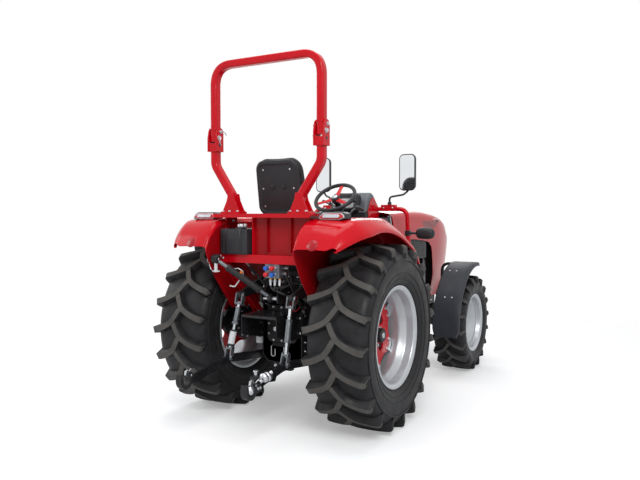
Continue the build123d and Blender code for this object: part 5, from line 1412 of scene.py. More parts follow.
def seat_shell():
    """The moulded shell behind the seat, its knobs, and the suspension with its bellows."""
    form = Form()
    place = seat_place(0.262, 0.0)
    rings = []
    for inset, z in ((0.006, 0.0), (0.0, 0.004), (0.0, 0.013), (0.004, 0.0185), (0.022, 0.0200), (0.0275, 0.0150),
                     (0.034, 0.0135), (0.09, 0.0135)):
        ring = []
        for x, y in rounded_rectangle(0.356 - 2 * inset, 0.372 - 2 * inset, max(0.060 - inset * 0.7, 0.012), 8):
            taper = 1.0 - 0.13 * max(0.0, (y + 0.05) / 0.24) - 0.10 * max(0.0, (-0.10 - y) / 0.10)
            ring.append((x * taper, y, z))
        rings.append(ring)
    form.add(loft(rings), PLASTIC, place)
    for x in (-0.043, 0.043):
        form.add(lathe(mm((0, 10), (16, 10), (16, 16), (12, 18), (12, 21.5), (0, 21.8)), 32), PLASTIC,
                 place @ Matrix.Translation((x, 0.010, 0.0)))
    for x, y in ((-0.105, 0.125), (0.105, 0.125), (-0.12, -0.12), (0.12, -0.12), (-0.12, 0.0), (0.12, 0.0)):
        form.add(lathe(mm((0, 13), (6, 13), (6, 15.5), (3, 16.5), (0, 16.5)), 16), STEEL,
                 place @ Matrix.Translation((x, y, 0.0)))
    form.add(sweep(rounded_rectangle(0.006, 0.004, 0.0015, 2),
                   [place @ Vector((x, -0.172, 0.0165)) for x in (-0.11, 0.0, 0.11)]), GREY)
    for sign in (-1, 1):
        arm = [place @ Vector((sign * 0.12, -0.15, 0.008)), place @ Vector((sign * 0.12, -0.215, 0.004)),
               Vector((sign * 0.12, REAR_Y - 0.150, 1.282)), Vector((sign * 0.12, REAR_Y - 0.04, 1.282))]
        form.add(sweep(rounded_rectangle(0.034, 0.010, 0.003, 2), arm, 0.02), BLACK)
    rings = []
    for z, inset in ((1.2705, 0.02), (1.275, 0.0), (1.286, 0.0), (1.2895, 0.01)):
        rings.append([(x, REAR_Y + 0.020 + y, z) for x, y in rounded_rectangle(0.400 - inset, 0.372 - inset, 0.04,
                5)])
    form.add(loft(rings), PLASTIC)
    rings = []
    for k in range(15):
        swell = 0.014 if k % 2 else 0.0
        rings.append([(x, REAR_Y + 0.010 + y, 0.958 + 0.0225 * k) for x,
                      y in rounded_rectangle(0.262 + 2 * swell, 0.262 + 2 * swell, 0.045, 5)])
    form.add(loft(rings), HOSE)
    form.add(block((-0.148, REAR_Y - 0.139, 0.956), (0.148, REAR_Y + 0.159, 0.985)), CAST)
    form.add(tube([(0.150, REAR_Y + 0.10, 1.276), (0.185, REAR_Y + 0.12, 1.276), (0.196, REAR_Y + 0.18, 1.280)],
                  0.005, 0.02), STEEL)
    form.add(ball(0.011, 1.0, 14, 8), PLASTIC, Matrix.Translation((0.190, REAR_Y + 0.185, 1.281)))
    form.make("seat_shell", "chassis", "black_plastic", ("seat_frame",))


seat_cushion()
seat_back()
seat_shell()


# Rear frame, tank, hitch and drive line
def strap(first, first_r, second, second_r, steps=10):
    """The outline of two circles and the tangents between them."""
    a, b = Vector(first), Vector(second)
    along = atan2(b.y - a.y, b.x - a.x)
    spread = acos((first_r - second_r) / (b - a).length)
    outline = []
    for i in range(steps + 1):
        t = along + spread + (2 * pi - 2 * spread) * i / steps
        outline.append((a.x + first_r * cos(t), a.y + first_r * sin(t)))
    for i in range(steps + 1):
        t = along - spread + 2 * spread * i / steps
        outline.append((b.x + second_r * cos(t), b.y + second_r * sin(t)))
    return outline


def drum(radius, low, high, edge=0.002, segments=32):
    """A turned drum with broken edges, about local Z."""
    return lathe([(0.0, low), (radius - edge, low), (radius, low + edge), (radius, high - edge),
                  (radius - edge, high), (0.0, high)], segments)


def hexagon(radius, low, high):
    """A nut with broken edges, about local Z."""
    return lathe([(0.0, low), (radius * 0.94, low), (radius, low + 0.002), (radius, high - 0.002),
                  (radius * 0.94, high), (0.0, high)], 6)


def hose(form, points, radius=0.008, bend=0.05, ends=True, paint=None):
    """A fixed pipe or hose between two fittings, with hexagon nuts at its ends."""
    path = round_path(points, bend, 8)
    form.add(tube(path, radius), paint or HOSE)
    if ends:
        for spot, other in ((path[0], path[1]), (path[-1], path[-2])):
            place = facing(spot, Vector(other) - Vector(spot))
            form.add(hexagon(radius * 1.5, -0.004, 0.014), STEEL, place)
            form.add(lathe([(0.0, 0.012), (radius * 1.25, 0.012), (radius * 1.25, 0.034), (radius, 0.036),
                            (0.0, 0.036)], 14), STEEL, place)


def pressed_box(low, high, round_off):
    """A box whose upright corners are rounded and whose top and bottom edges are broken."""
    (a, b, c), (d, e, f) = low, high
    rings = []
    for z, inset in ((c, round_off * 0.3), (c + round_off * 0.3, 0.0), (f - round_off * 0.3, 0.0),
                     (f - round_off * 0.08, round_off * 0.1), (f, round_off * 0.35)):
        rings.append([((a + d) / 2 + x, (b + e) / 2 + y, z) for x,
                      y in rounded_rectangle(d - a - 2 * inset, e - b - 2 * inset, max(round_off - inset, 0.001), 5)])
    return loft(rings)


def rear_frame():
    """Plate, panel, beam and struts under the roll bar, with their bolts."""
    form = Form()
    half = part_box("rear_frame")[1].x
    inner = abs(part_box("rear_fender_right")[0].x) - 0.0003
    form.add(plate(rounded_rectangle(2 * half, 0.195, 0.018), 1.366, 1.378), RED,
             Matrix.Translation(at_back(0, -0.3525, 0)))
    form.add(block(at_back(-half + 0.01, -0.450, 1.352), at_back(half - 0.01, -0.444, 1.367)), RED)
    form.add(block(at_back(-inner, -0.425, 1.060), at_back(inner, -0.375, 1.115)), RED)
    # The panel and its two ribs take the darker red, as painted shade; the beam and the rib at the panel's edge stay
    # red
    form.add(block(at_back(-0.090, -0.380, 1.110), at_back(inner, -0.375, 1.367)), SHADED_RED)
    for x in (0.02, 0.20):
        form.add(block(at_back(x, -0.400, 1.13), at_back(x + 0.005, -0.379, 1.366)), SHADED_RED)
    form.add(block(at_back(-0.088, -0.405, 1.115), at_back(-0.083, -0.378, 1.366)), RED)
    for sign in (-1, 1):
        form.add(side_block(sign, (inner - 0.012, inner), (-0.375, -0.255), (1.060, 1.367)), RED)
        strut = mm((-425, 1065), (-375, 1065), (20, 680), (-50, 680))
        form.add(plate(strut, inner - 0.042, inner - 0.036), RED, side_on(0, sign))
        form.add(plate(strut, inner - 0.006, inner), RED, side_on(0, sign))
        web = mm((-405, 1062), (-395, 1062), (-10, 684), (-22, 684))
        form.add(plate(web, inner - 0.040, inner - 0.002), RED, side_on(0, sign))
        form.add(side_block(sign, (inner - 0.062, inner), (-0.075, 0.045), (0.672, 0.688)), RED)
        for dy in (-0.062, 0.032):
            add_bolt(form, at_back(sign * (inner - 0.050), dy, 0.688), (0, 0, 1), 0.011, STEEL)
        for z in (1.15, 1.25, 1.33):
            add_bolt(form, at_back(sign * (inner - 0.012), -0.30, z), (-sign, 0, 0), 0.010, STEEL)
    for x in (-0.31, 0.31):
        add_bolt(form, at_back(x, -0.425, 1.087), (0, -1, 0), 0.010, STEEL)
    form.make("roll_bar_frame", "chassis", "red_paint", ("rear_frame",), bevel=0.0015)


def fuel_tank():
    """The tank with its straps, neck, cap and outlet."""
    form = Form()
    low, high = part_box("fuel_tank")
    top = low.z + 0.165
    form.add(pressed_box((low.x, low.y, low.z), (high.x, high.y, top), 0.016), PLASTIC)
    form.add(block((low.x + 0.02, low.y, low.z + 0.03), (low.x + 0.024, high.y - 0.03, top - 0.03)), CAST)
    for x in (low.x + 0.055, high.x - 0.045):
        line = [(x, low.y + 0.003, low.z + 0.003), (x, low.y, low.z + 0.01), (x, low.y, top - 0.01),
                (x, low.y + 0.006, top + 0.0015), (x, high.y - 0.006, top + 0.0015)]
        form.add(sweep(rounded_rectangle(0.018, 0.003, 0.001, 2), line), BLACK)
    place = Matrix.Translation(at_back(-0.160, -0.410, top))
    form.add(drum(0.024, -0.002, 0.016), PLASTIC, place)
    rings = []
    for z, grow in ((0.010, 0.92), (0.013, 1.0), (0.026, 1.0), (0.031, 0.9), (0.033, 0.6)):
        rings.append([around((0.029 + 0.003 * cos(6 * a)) * grow, a, z) for a in turns(48)])
    form.add(loft(rings), SILVER, place)
    form.add(block((-0.024, -0.004, 0.030), (0.024, 0.004, 0.0325)), SILVER, place)
    hose(form, [(low.x + 0.05, high.y - 0.02, low.z + 0.02), (low.x + 0.03, high.y + 0.03, low.z - 0.02),
                (low.x + 0.06, high.y + 0.12, low.z - 0.16)], 0.006, 0.03)
    form.make("tank", "chassis", "black_plastic", ("fuel_tank",))


def top_link():
    """The stowed top link: eye, threaded ends, barrel with its bar, pins, clip and handle."""
    form = Form()
    start, end = at_back(-0.008, -0.328, 0.837), at_back(-0.300, -0.510, 1.085)
    along, length = (end - start).normalized(), (end - start).length
    place = facing(start, along)
    form.add(drum(0.022, 0.085, length - 0.105, 0.004), CAST, place)
    form.add(hexagon(0.025, 0.070, 0.092), CAST, place)
    form.add(hexagon(0.025, length - 0.110, length - 0.088), CAST, place)
    form.add(drum(0.0135, 0.010, 0.080, 0.001), DULL, place)
    form.add(drum(0.0135, length - 0.095, length - 0.015, 0.001), DULL, place)
    for k in range(14):
        form.add(lathe([(0.0125, 0.018 + 0.0042 * k), (0.0147, 0.020 + 0.0042 * k), (0.0125, 0.022 + 0.0042 * k)], 18,
                       closed=True), DULL, place)
    form.add(drum(0.030, -0.022, 0.022, 0.005), CAST, facing(end, (1, 0, 0)))
    form.add(drum(0.0305, -0.014, 0.014, 0.004), CAST, facing(at_back(0, -0.320, 0.825), (1, 0, 0)))
    form.add(ball(0.0215, 0.9, 20, 10), STEEL, facing(end, (1, 0, 0)))
    form.add(drum(0.0095, -0.046, 0.030, 0.002), STEEL, facing(end, (1, 0, 0)))
    form.add(drum(0.014, -0.058, 0.058, 0.002), STEEL, facing(at_back(0, -0.320, 0.825), (1, 0, 0)))
    form.add(lathe(hoop(0.016, 0.002), 28, closed=True), STEEL, facing(end + Vector((-0.054, 0, -0.012)), (0, 1, 0)))
    form.add(tube([end + Vector(p) for p in ((-0.044, 0, 0), (-0.048, -0.004, -0.045), (-0.034, -0.004, -0.070))],
                  0.0032, 0.01), STEEL)
    form.add(drum(0.031, 0.012, 0.024, 0.003), PLASTIC, facing(end, (0, -0.25, 1)))
    form.add(drum(0.011, -0.085, -0.015, 0.002), WHITE, facing(end + Vector((0.004, -0.004, 0)), (0, 0, 1)))
    form.add(drum(0.0045, -0.026, 0.026, 0.001), WHITE, facing(end + Vector((0.004, -0.004, -0.078)), (1, 0.2, 0)))
    centre = start + along * (length * 0.52)
    aside = along.cross(Vector((0, 1, 0))).normalized()
    form.add(tube([centre + aside * 0.020, centre + aside * 0.085, centre + aside * 0.10 + along * 0.03], 0.0042,
                  0.015), WHITE)
    form.add(drum(0.010, 0.0, 0.012), CAP_ORANGE, facing(centre - aside * 0.022 + along * 0.02, -aside))
    clip = [centre - aside * out + along * up for out, up in ((0.020, 0), (0.042, 0.012), (0.040, 0.05),
            (0.018, 0.07))]
    form.add(tube(clip, 0.003, 0.014), STEEL)
    form.make("top_link_barrel", "chassis", "cast_black", ("top_link",), bevel=0.0008)


def lift_arms():
    """The two arms on their cross shaft."""
    form = Form()
    for sign in (-1, 1):
        outline = strap(ARM_PIVOT, 0.046, ARM_END, 0.0245)
        place = side_on(sign * ARM_X, sign)
        form.add(plate(outline, -0.012, 0.012), CAST, place)
        form.add(drum(0.0475, -0.014, 0.014, 0.003), CAST, pin_at(ARM_PIVOT, sign * ARM_X, sign))
        form.add(drum(0.0245, -0.014, 0.014, 0.003), CAST, pin_at(ARM_END, sign * ARM_X, sign))
        rib = strap((-0.150, 0.899), 0.012, (-0.350, 0.852), 0.008)
        form.add(plate(rib, 0.010, 0.014), CAST, place)
        add_bolt(form, at_back(sign * 0.213, -0.120, 0.905), (sign, 0, 0), 0.020, STEEL)
    form.add(drum(0.030, -0.200, 0.200), DULL, pin_at(ARM_PIVOT))
    form.make("lift_arm_pair", "lift_arms", "cast_black", ("lift_arms",), bevel=0.002)


def lift_rods():
    """Grey forks, threaded rods and turnbuckle collars between the arms and the lower links."""
    form = Form()
    for sign in (-1, 1):
        top_x, low_x = sign * ARM_X, sign * LINK_X
        for pin, x, inner, lean, pin_r in ((ARM_END, top_x, 0.020, (-0.015, -0.052), 0.0108),
                                           (LINK_PIN, low_x, 0.016, (0.016, 0.058), 0.0095)):
            for ear in (-1, 1):
                outline = strap(pin, 0.0185, (pin[0] + lean[0], pin[1] + lean[1]), 0.0165)
                form.add(plate(outline, 0.0, 0.008), DULL, side_on(x + ear * inner if ear > 0 else x - inner - 0.008,
                        1))
            base = at_back(x, pin[0] + lean[0], pin[1] + lean[1])
            reach = Vector((inner + 0.008, 0.0165, 0.007))
            form.add(pressed_box(base - reach, base + reach, 0.006), DULL)
            form.add(drum(pin_r, -inner - 0.0075, inner + 0.0075, 0.001), STEEL, pin_at(pin, x))
            for end in (-1, 1):
                form.add(drum(0.0155, 0.0, 0.0035, 0.001), STEEL,
                         facing(at_back(x + end * (inner + 0.008), pin[0], pin[1]), (end, 0, 0)))
        start, end = at_back(top_x, -0.395, 0.795), at_back(low_x, -0.475, 0.508)
        length = (end - start).length
        place = facing(start, end - start)
        form.add(drum(0.0115, -0.005, length + 0.004, 0.001), STEEL, place)
        if sign > 0:
            form.add(drum(0.019, length * 0.30, length * 0.72, 0.004), DULL, place)
            form.add(hexagon(0.022, length * 0.27, length * 0.33), DULL, place)
            form.add(hexagon(0.022, length * 0.69, length * 0.75), DULL, place)
            form.add(hexagon(0.017, length * 0.20, length * 0.235), STEEL, place)
        else:
            form.add(drum(0.017, length * 0.10, length * 0.42, 0.003), DULL, place)
            form.add(hexagon(0.021, length * 0.42, length * 0.48), DULL, place)
            form.add(drum(0.0215, length * 0.62, length * 0.93, 0.004), WHITE, place)
            form.add(drum(0.0235, length * 0.60, length * 0.64, 0.002), CAST, place)
            form.add(drum(0.0235, length * 0.91, length * 0.96, 0.002), CAST, place)
        for k in range(10):
            h = length * 0.76 + 0.0035 * k if sign > 0 else length * 0.50 + 0.0032 * k
            form.add(lathe([(0.0105, h), (0.0128, h + 0.0012), (0.0105, h + 0.0024)], 16, closed=True), STEEL, place)
    form.make("lift_rod_pair", "lift_rods", "steel", ("lift_rods",), bevel=0.001)


def lower_links():
    """The two lower links with their hook ends, and spare balls on the right one."""
    form = Form()
    for sign in (-1, 1):
        bar = mm((-50, 428), (-490, 470), (-830, 413), (-830, 357), (-490, 420), (-50, 372))
        place, pivot = side_on(sign * LINK_X, sign), pin_at(LINK_PIVOT, sign * LINK_X, sign)
        form.add(plate(bar, -0.0095, 0.0095), BLACK, place)
        form.add(drum(0.0305, -0.012, 0.012, 0.004), BLACK, pivot)
        form.add(lathe(mm((14.3, -12.5), (24, -12.5), (24, 12.5), (14.3, 12.5)), 28, closed=True), STEEL, pivot)
        form.add(drum(0.024, -0.0098, 0.0098, 0.002), BLACK, pin_at((-0.490, 0.445), sign * LINK_X, sign))
        hook = mm((52, 30), (31, 34), (29, 0))
        hook += arc(0.029, range(-20, -181, -20))
        hook += mm((-30, 22), (-34, 38), (-44, 42), (-50.5, 20))
        hook += arc(0.0515, range(180, 361, 20))
        claw = pin_at((-0.890, 0.385), sign * BALL_X, sign)
        form.add(plate(hook, -0.021, 0.021), CAST, claw)
        form.add(plate(mm((40, -24), (95, -20), (95, 22), (40, 30)), -0.020, 0.020), CAST, claw)
        form.add(plate(mm((30, 18), (46, 34), (28, 58), (12, 52), (6, 30)), -0.007, 0.007), STEEL, claw)
        form.add(drum(0.007, -0.024, 0.024), STEEL, claw @ Matrix.Translation((0.042, 0.024, 0)))
        form.add(tube([claw @ Vector(p) for p in ((0.046, 0.036, 0.012), (0.075, 0.052, 0.014),
                                                  (0.11, 0.046, 0.014))], 0.003, 0.01), STEEL)
        for u in (0.062, 0.084):
            add_bolt(form, claw @ Vector((u, 0.002, 0.020)), (sign, 0, 0), 0.009, STEEL)
    for offset in (-0.012, 0.012):
        form.add(ball(0.0265, 0.7, 24, 12), STEEL, pin_at((-0.890, 0.388), BALL_X + offset))
    for along in (-0.015, 0.017):
        form.add(ball(0.030, 0.8, 24, 12), STEEL, facing(at_back(0.262, -0.760 + along, 0.440), (0.35, 1, 0.55)))
    form.add(drum(0.012, -0.05, 0.05), STEEL, facing(at_back(0.262, -0.760, 0.440), (0.35, 1, 0.55)))
    form.add(block(at_back(0.222, -0.775, 0.425), at_back(0.262, -0.745, 0.436)), CAST)
    form.make("lower_link_pair", "lower_links", "black_paint", ("lower_links",), bevel=0.002)


def power_shaft():
    """The splined output shaft."""
    form = Form()
    place = rear_on(-0.190) @ Matrix.Translation((0, OUTPUT_Z, 0))
    form.add(drum(0.0218, -0.094, 0.004, 0.001), DULL, place)
    form.add(drum(0.0149, 0.003, 0.009, 0.0005), STEEL, place)
    rings = []
    for z, grow in ((0.008, 0.93), (0.011, 1.0), (0.044, 1.0), (0.046, 0.93), (0.052, 0.93), (0.054, 1.0),
                    (0.079, 1.0), (0.083, 0.86)):
        ring = []
        for k in range(72):
            r = (0.01735 if k % 12 < 7 else 0.0142) * grow
            ring.append(around(r, 2 * pi * k / 72, z))
        rings.append(ring)
    form.add(loft(rings), STEEL, place)
    form.make("splined_shaft", "pto_shaft", "steel", ("pto_shaft",))


def shaft_guard():
    """The guard's sheet over the output shaft, with its bolted feet."""
    form = Form()
    low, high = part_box("pto_guard")
    form.add(block((low.x, low.y, high.z - 0.004), (high.x, high.y, high.z)), BLACK)
    form.add(block((low.x, low.y, high.z - 0.016), (high.x, low.y + 0.004, high.z)), BLACK)
    for sign in (-1, 1):
        side = mm((-190, 730), (-460, 730), (-460, 612), (-448, 600), (-252, 552), (-190, 552))
        form.add(plate(side, 0.131, 0.135), BLACK, side_on(0, sign))
        form.add(side_block(sign, (0.131, 0.150), (-0.194, -0.190), (0.555, 0.728)), BLACK)
        for z in (0.59, 0.69):
            add_bolt(form, at_back(sign * 0.142, -0.194, z), (0, -1, 0), 0.0085, STEEL)
    form.make("shaft_guard", "chassis", "black_paint", ("pto_guard",), bevel=0.0015)


def drive_line():
    """Rear housing, lift cover, gearbox and clutch housing with their ribs, covers and bolts."""
    form = Form()
    body = mm((-150, 425), (-110, 385), (110, 385), (150, 425), (150, 785), (115, 820), (-115, 820), (-150, 785))
    form.add(plate(body, -0.230, 0.190), CAST, rear_on(0.0))
    for y in (-0.214, 0.176):
        form.add(plate([(x * 1.045, 0.6025 + (z - 0.6025) * 1.02) for x, z in body], y, y + 0.014), CAST,
                 rear_on(0.0))
    cover = rounded_rectangle(0.236, 0.250, 0.040, 5)
    form.add(plate([(x, y + 0.640) for x, y in cover], 0.189, 0.1945), CAST, rear_on(0.0))
    for a in turns(12):
        x, z = (copysign(min(abs(reach) * 1.25, 1), reach) for reach in (cos(a), sin(a)))
        add_bolt(form, at_back(0.104 * x, -0.1945, 0.640 + 0.111 * z), (0, -1, 0), 0.0085, STEEL)
    form.add(lathe(mm((22.2, 190), (62, 190), (62, 192.5), (56, 194), (22.2, 194)), 40, closed=True), CAST,
             rear_on(0.0) @ Matrix.Translation((0, OUTPUT_Z, 0)))
    lift = mm((-150, 815), (150, 815), (150, 925), (120, 955), (-120, 955), (-150, 925))
    form.add(plate(lift, 0.0, 0.180), CAST, rear_on(0.0))
    form.add(drum(0.052, -0.153, -0.13, 0.004), CAST, pin_at(ARM_PIVOT))
    form.add(drum(0.052, 0.13, 0.153, 0.004), CAST, pin_at(ARM_PIVOT))
    for x in (-0.10, -0.03, 0.04, 0.11):
        for y in (-0.165, -0.015):
            add_bolt(form, at_back(x, y, 0.955), (0, 0, 1), 0.010, STEEL)
    for x in (-0.07, 0.058):
        bracket = mm((-178, 780), (-178, 952), (-200, 955), (-345, 850), (-345, 802), (-310, 790))
        form.add(plate(bracket, 0.0, 0.012), CAST, side_on(x, 1))
        for z in (0.80, 0.86):
            add_bolt(form, at_back(x + (0.012 if x > 0 else 0.0), -0.215, z), (1 if x > 0 else -1, 0, 0), 0.009,
                     STEEL)
    for sign in (-1, 1):
        form.add(drum(0.034, 0.148, 0.199, 0.003), CAST, pin_at(LINK_PIVOT, 0, sign))
        form.add(drum(0.0139, 0.19, 0.259, 0.002), STEEL, pin_at(LINK_PIVOT, 0, sign))
        form.add(drum(0.024, 0.228, 0.232, 0.001), STEEL, pin_at(LINK_PIVOT, 0, sign))
        for z in (0.46, 0.52, 0.70, 0.75):
            add_bolt(form, at_back(sign * 0.150, -0.14, z), (sign, 0, 0), 0.010, STEEL)
        for y in (-0.1, 0.02, 0.14):
            form.add(side_block(sign, (0.148, 0.160), (y, y + 0.010), (0.43, 0.78)), CAST)
    gear = mm((-125, 445), (-90, 410), (90, 410), (125, 445), (125, 745), (95, 780), (-95, 780), (-125, 745))
    form.add(plate(gear, -1.010, -0.220), CAST, rear_on(0.0))
    for y in (-0.62, -0.605):
        form.add(plate([(x * 1.10, 0.595 + (z - 0.595) * 1.06) for x, z in gear], y, y + 0.013), CAST, rear_on(0.0))
    for k in range(6):
        form.add(plate([(x * 1.04, 0.595 + (z - 0.595) * 1.03) for x, z in gear], -0.30 - 0.052 * k,
                       -0.292 - 0.052 * k), CAST, rear_on(0.0))
    bell = mm((-160, 510), (-115, 470), (115, 470), (160, 510), (160, 790), (115, 840), (-115, 840), (-160, 790))
    form.add(plate(bell, -1.010, -0.920), CAST, rear_on(0.0))
    form.add(loft([[(x, REAR_Y + 0.920, z) for x, z in bell], [(x, REAR_Y + 0.84, z) for x, z in gear]]), CAST)
    for sign in (-1, 1):
        for z in (0.53, 0.61, 0.69, 0.77):
            add_bolt(form, at_back(sign * 0.160, 0.975, z), (sign, 0, 0), 0.011, STEEL)
    for x in (-0.07, 0.07):
        form.add(block(at_back(x - 0.03, 0.13, 0.815), at_back(x + 0.03, 0.19, 0.868)), CAST)
        form.add(block(at_back(x - 0.03, 0.70, 0.775), at_back(x + 0.03, 0.76, 0.868)), CAST)
    form.make("drive_housing", "chassis", "cast_black", ("transmission_case",), bevel=0.0025)


def axle_trumpets():
    """The axle's housings with their flanges, bolts and ribs."""
    form = Form()
    for sign in (-1, 1):
        place = side_on(0, sign) @ Matrix.Translation((0, REAR_R, 0))
        form.add(lathe(mm((0, 150), (134, 150), (135, 155), (135, 196), (118, 206), (105, 212), (96, 260), (87, 330),
                          (80, 410), (80, 424), (116, 427), (118, 430), (118, 454.5), (0, 454.5)), 48), CAST, place)
        for a in turns(10):
            add_bolt(form, place @ around(0.122, a, 0.196), (sign, 0, 0), 0.009, STEEL)
            add_bolt(form, place @ around(0.104, a + 0.3, 0.4265), (-sign, 0, 0), 0.0085, STEEL)
        for k in range(8):
            a = 2 * pi * k / 8 + 0.39
            turn = place @ Matrix.Rotation(a, 4, "Z")
            form.add(plate(mm((80, 205), (118, 205), (100, 300), (80, 400)), -0.004, 0.004), CAST,
                     turn @ Matrix(((1, 0, 0, 0), (0, 0, -1, 0), (0, 1, 0, 0), (0, 0, 0, 1))))
    form.make("axle_trumpets", "chassis", "cast_black", ("rear_axle",), bevel=0.0015)


def drawbar():
    """The drawbar with its pin and its two carriers."""
    form = Form()
    tail = -0.530
    outline = [(-0.035, -0.050), (0.035, -0.050), (0.035, tail + 0.035)]
    outline += arc(0.035, range(0, -181, -20), 0.0, tail + 0.035) + [(-0.035, tail + 0.035)]
    form.add(plate(outline, 0.3305, 0.3575), CAST, Matrix.Translation((0, REAR_Y, 0)))
    form.add(lathe(mm((0, 356.5), (12.5, 356.5), (12.5, 380), (19, 381), (19, 392), (0, 394)), 24), STEEL,
             Matrix.Translation(at_back(0, tail + 0.040, 0)))
    form.add(block(at_back(-0.070, -0.190, 0.330), at_back(0.070, -0.150, 0.386)), CAST)
    form.add(block(at_back(-0.050, -0.110, 0.330), at_back(0.050, -0.050, 0.386)), CAST)
    for x in (-0.052, 0.052):
        add_bolt(form, at_back(x, -0.190, 0.357), (0, -1, 0), 0.011, STEEL)
    form.make("drawbar_tongue", "chassis", "cast_black", ("drawbar",), bevel=0.002)


def valves():
    """Spool block, couplers with their coloured caps, and the pipes around them."""
    form = Form()
    form.add(pressed_box(at_back(0.020, -0.420, 0.970), at_back(0.130, -0.340, 1.060), 0.006), DULL)
    for i, x in enumerate((0.052, 0.098)):
        for j, z in enumerate((0.995, 1.035)):
            place = rear_on(-0.419) @ Matrix.Translation((x, z, 0))
            form.add(hexagon(0.015, 0.0, 0.014), STEEL, place)
            form.add(drum(0.0125, 0.012, 0.034, 0.002), STEEL, place)
            paint = (CAP_RED, CAP_BLUE)[(i + j) % 2]
            form.add(lathe(mm((0, 30), (14.5, 30), (14.5, 44), (11, 48), (0, 49)), 24), paint, place)
            tab = ((0.0145, 0, 0.036), (0.020, 0.006, 0.040), (0.018, 0.020, 0.024), (0.008, 0.018, 0.008))
            form.add(tube([place @ Vector(p) for p in tab], 0.0018, 0.008), paint)
    for x in (0.040, 0.075, 0.110):
        form.add(drum(0.009, 0.0, 0.018), BRASS, facing(at_back(x, -0.380, 0.970), (0, 0, -1)))
    routes = [
        mm((40, -380, 955), (40, -380, 900), (120, -340, 860), (135, -200, 800)),
        mm((75, -380, 955), (75, -390, 880), (20, -310, 900), (30, -200, 930)),
        mm((110, -380, 955), (115, -390, 900), (160, -300, 930), (145, -170, 900)),
        mm((130, -370, 1035), (160, -370, 1035), (170, -330, 930), (155, -140, 800)),
        mm((130, -370, 1000), (155, -385, 1000), (165, -310, 880), (152, -160, 720)),
    ]
    for route in routes:
        hose(form, [at_back(*spot) for spot in route], 0.0075, 0.05)
    for route in (mm((-60, -200, 860), (-80, -270, 900), (-130, -300, 980), (-150, -385, 1060)),
                  mm((-100, -190, 760), (-120, -235, 790), (-140, -220, 860), (-150, -170, 900))):
        hose(form, [at_back(*spot) for spot in route], 0.006, 0.04)
    for k, (x, z) in enumerate(((-0.045, 0.875), (0.0, 0.885), (0.045, 0.870), (0.02, 0.835), (-0.02, 0.84))):
        place = rear_on(-0.180) @ Matrix.Translation((x, z, 0))
        form.add(hexagon(0.013, 0.0, 0.012), STEEL, place)
        form.add(drum(0.010, 0.010, 0.028), DULL if k % 2 else STEEL, place)
    place = rear_on(-0.181) @ Matrix.Translation((0.105, 0.800, 0))
    form.add(drum(0.021, 0.0, 0.018), STEEL, place)
    form.add(drum(0.026, 0.016, 0.034, 0.004), CAP_RED, place)
    form.add(lathe(hoop(0.034, 0.0028), 36, closed=True), CAP_RED,
             facing(at_back(0.112, -0.208, 0.772), (0.1, -1, 0.1)))
    canister = facing(at_back(-0.163, -0.218, 0.505), (0, 0, 1))
    form.add(lathe(mm((0, 0), (20, 0), (24, 6), (24, 85), (20, 92), (12, 94), (12, 104), (0, 105)), 32), WHITE,
             canister)
    form.add(block(at_back(-0.166, -0.200, 0.53), at_back(-0.146, -0.186, 0.60)), CAST)
    for x in (-0.055, 0.045):
        hook = ((0, -0.190, 0.500), (0, -0.235, 0.500), (0, -0.235, 0.430), (0.03, -0.235, 0.430),
                (0.03, -0.235, 0.480))
        form.add(tube([at_back(x + aside, y, z) for aside, y, z in hook], 0.004, 0.012), STEEL)
    form.add(block(at_back(-0.075, -0.194, 0.488), at_back(0.065, -0.189, 0.512)), CAST)
    form.make("valve_block", "chassis", "steel", ("remote_valves",), bevel=0.001)


rear_frame()
fuel_tank()
top_link()
lift_arms()
lift_rods()
lower_links()
power_shaft()
shaft_guard()
drive_line()
axle_trumpets()
drawbar()
valves()


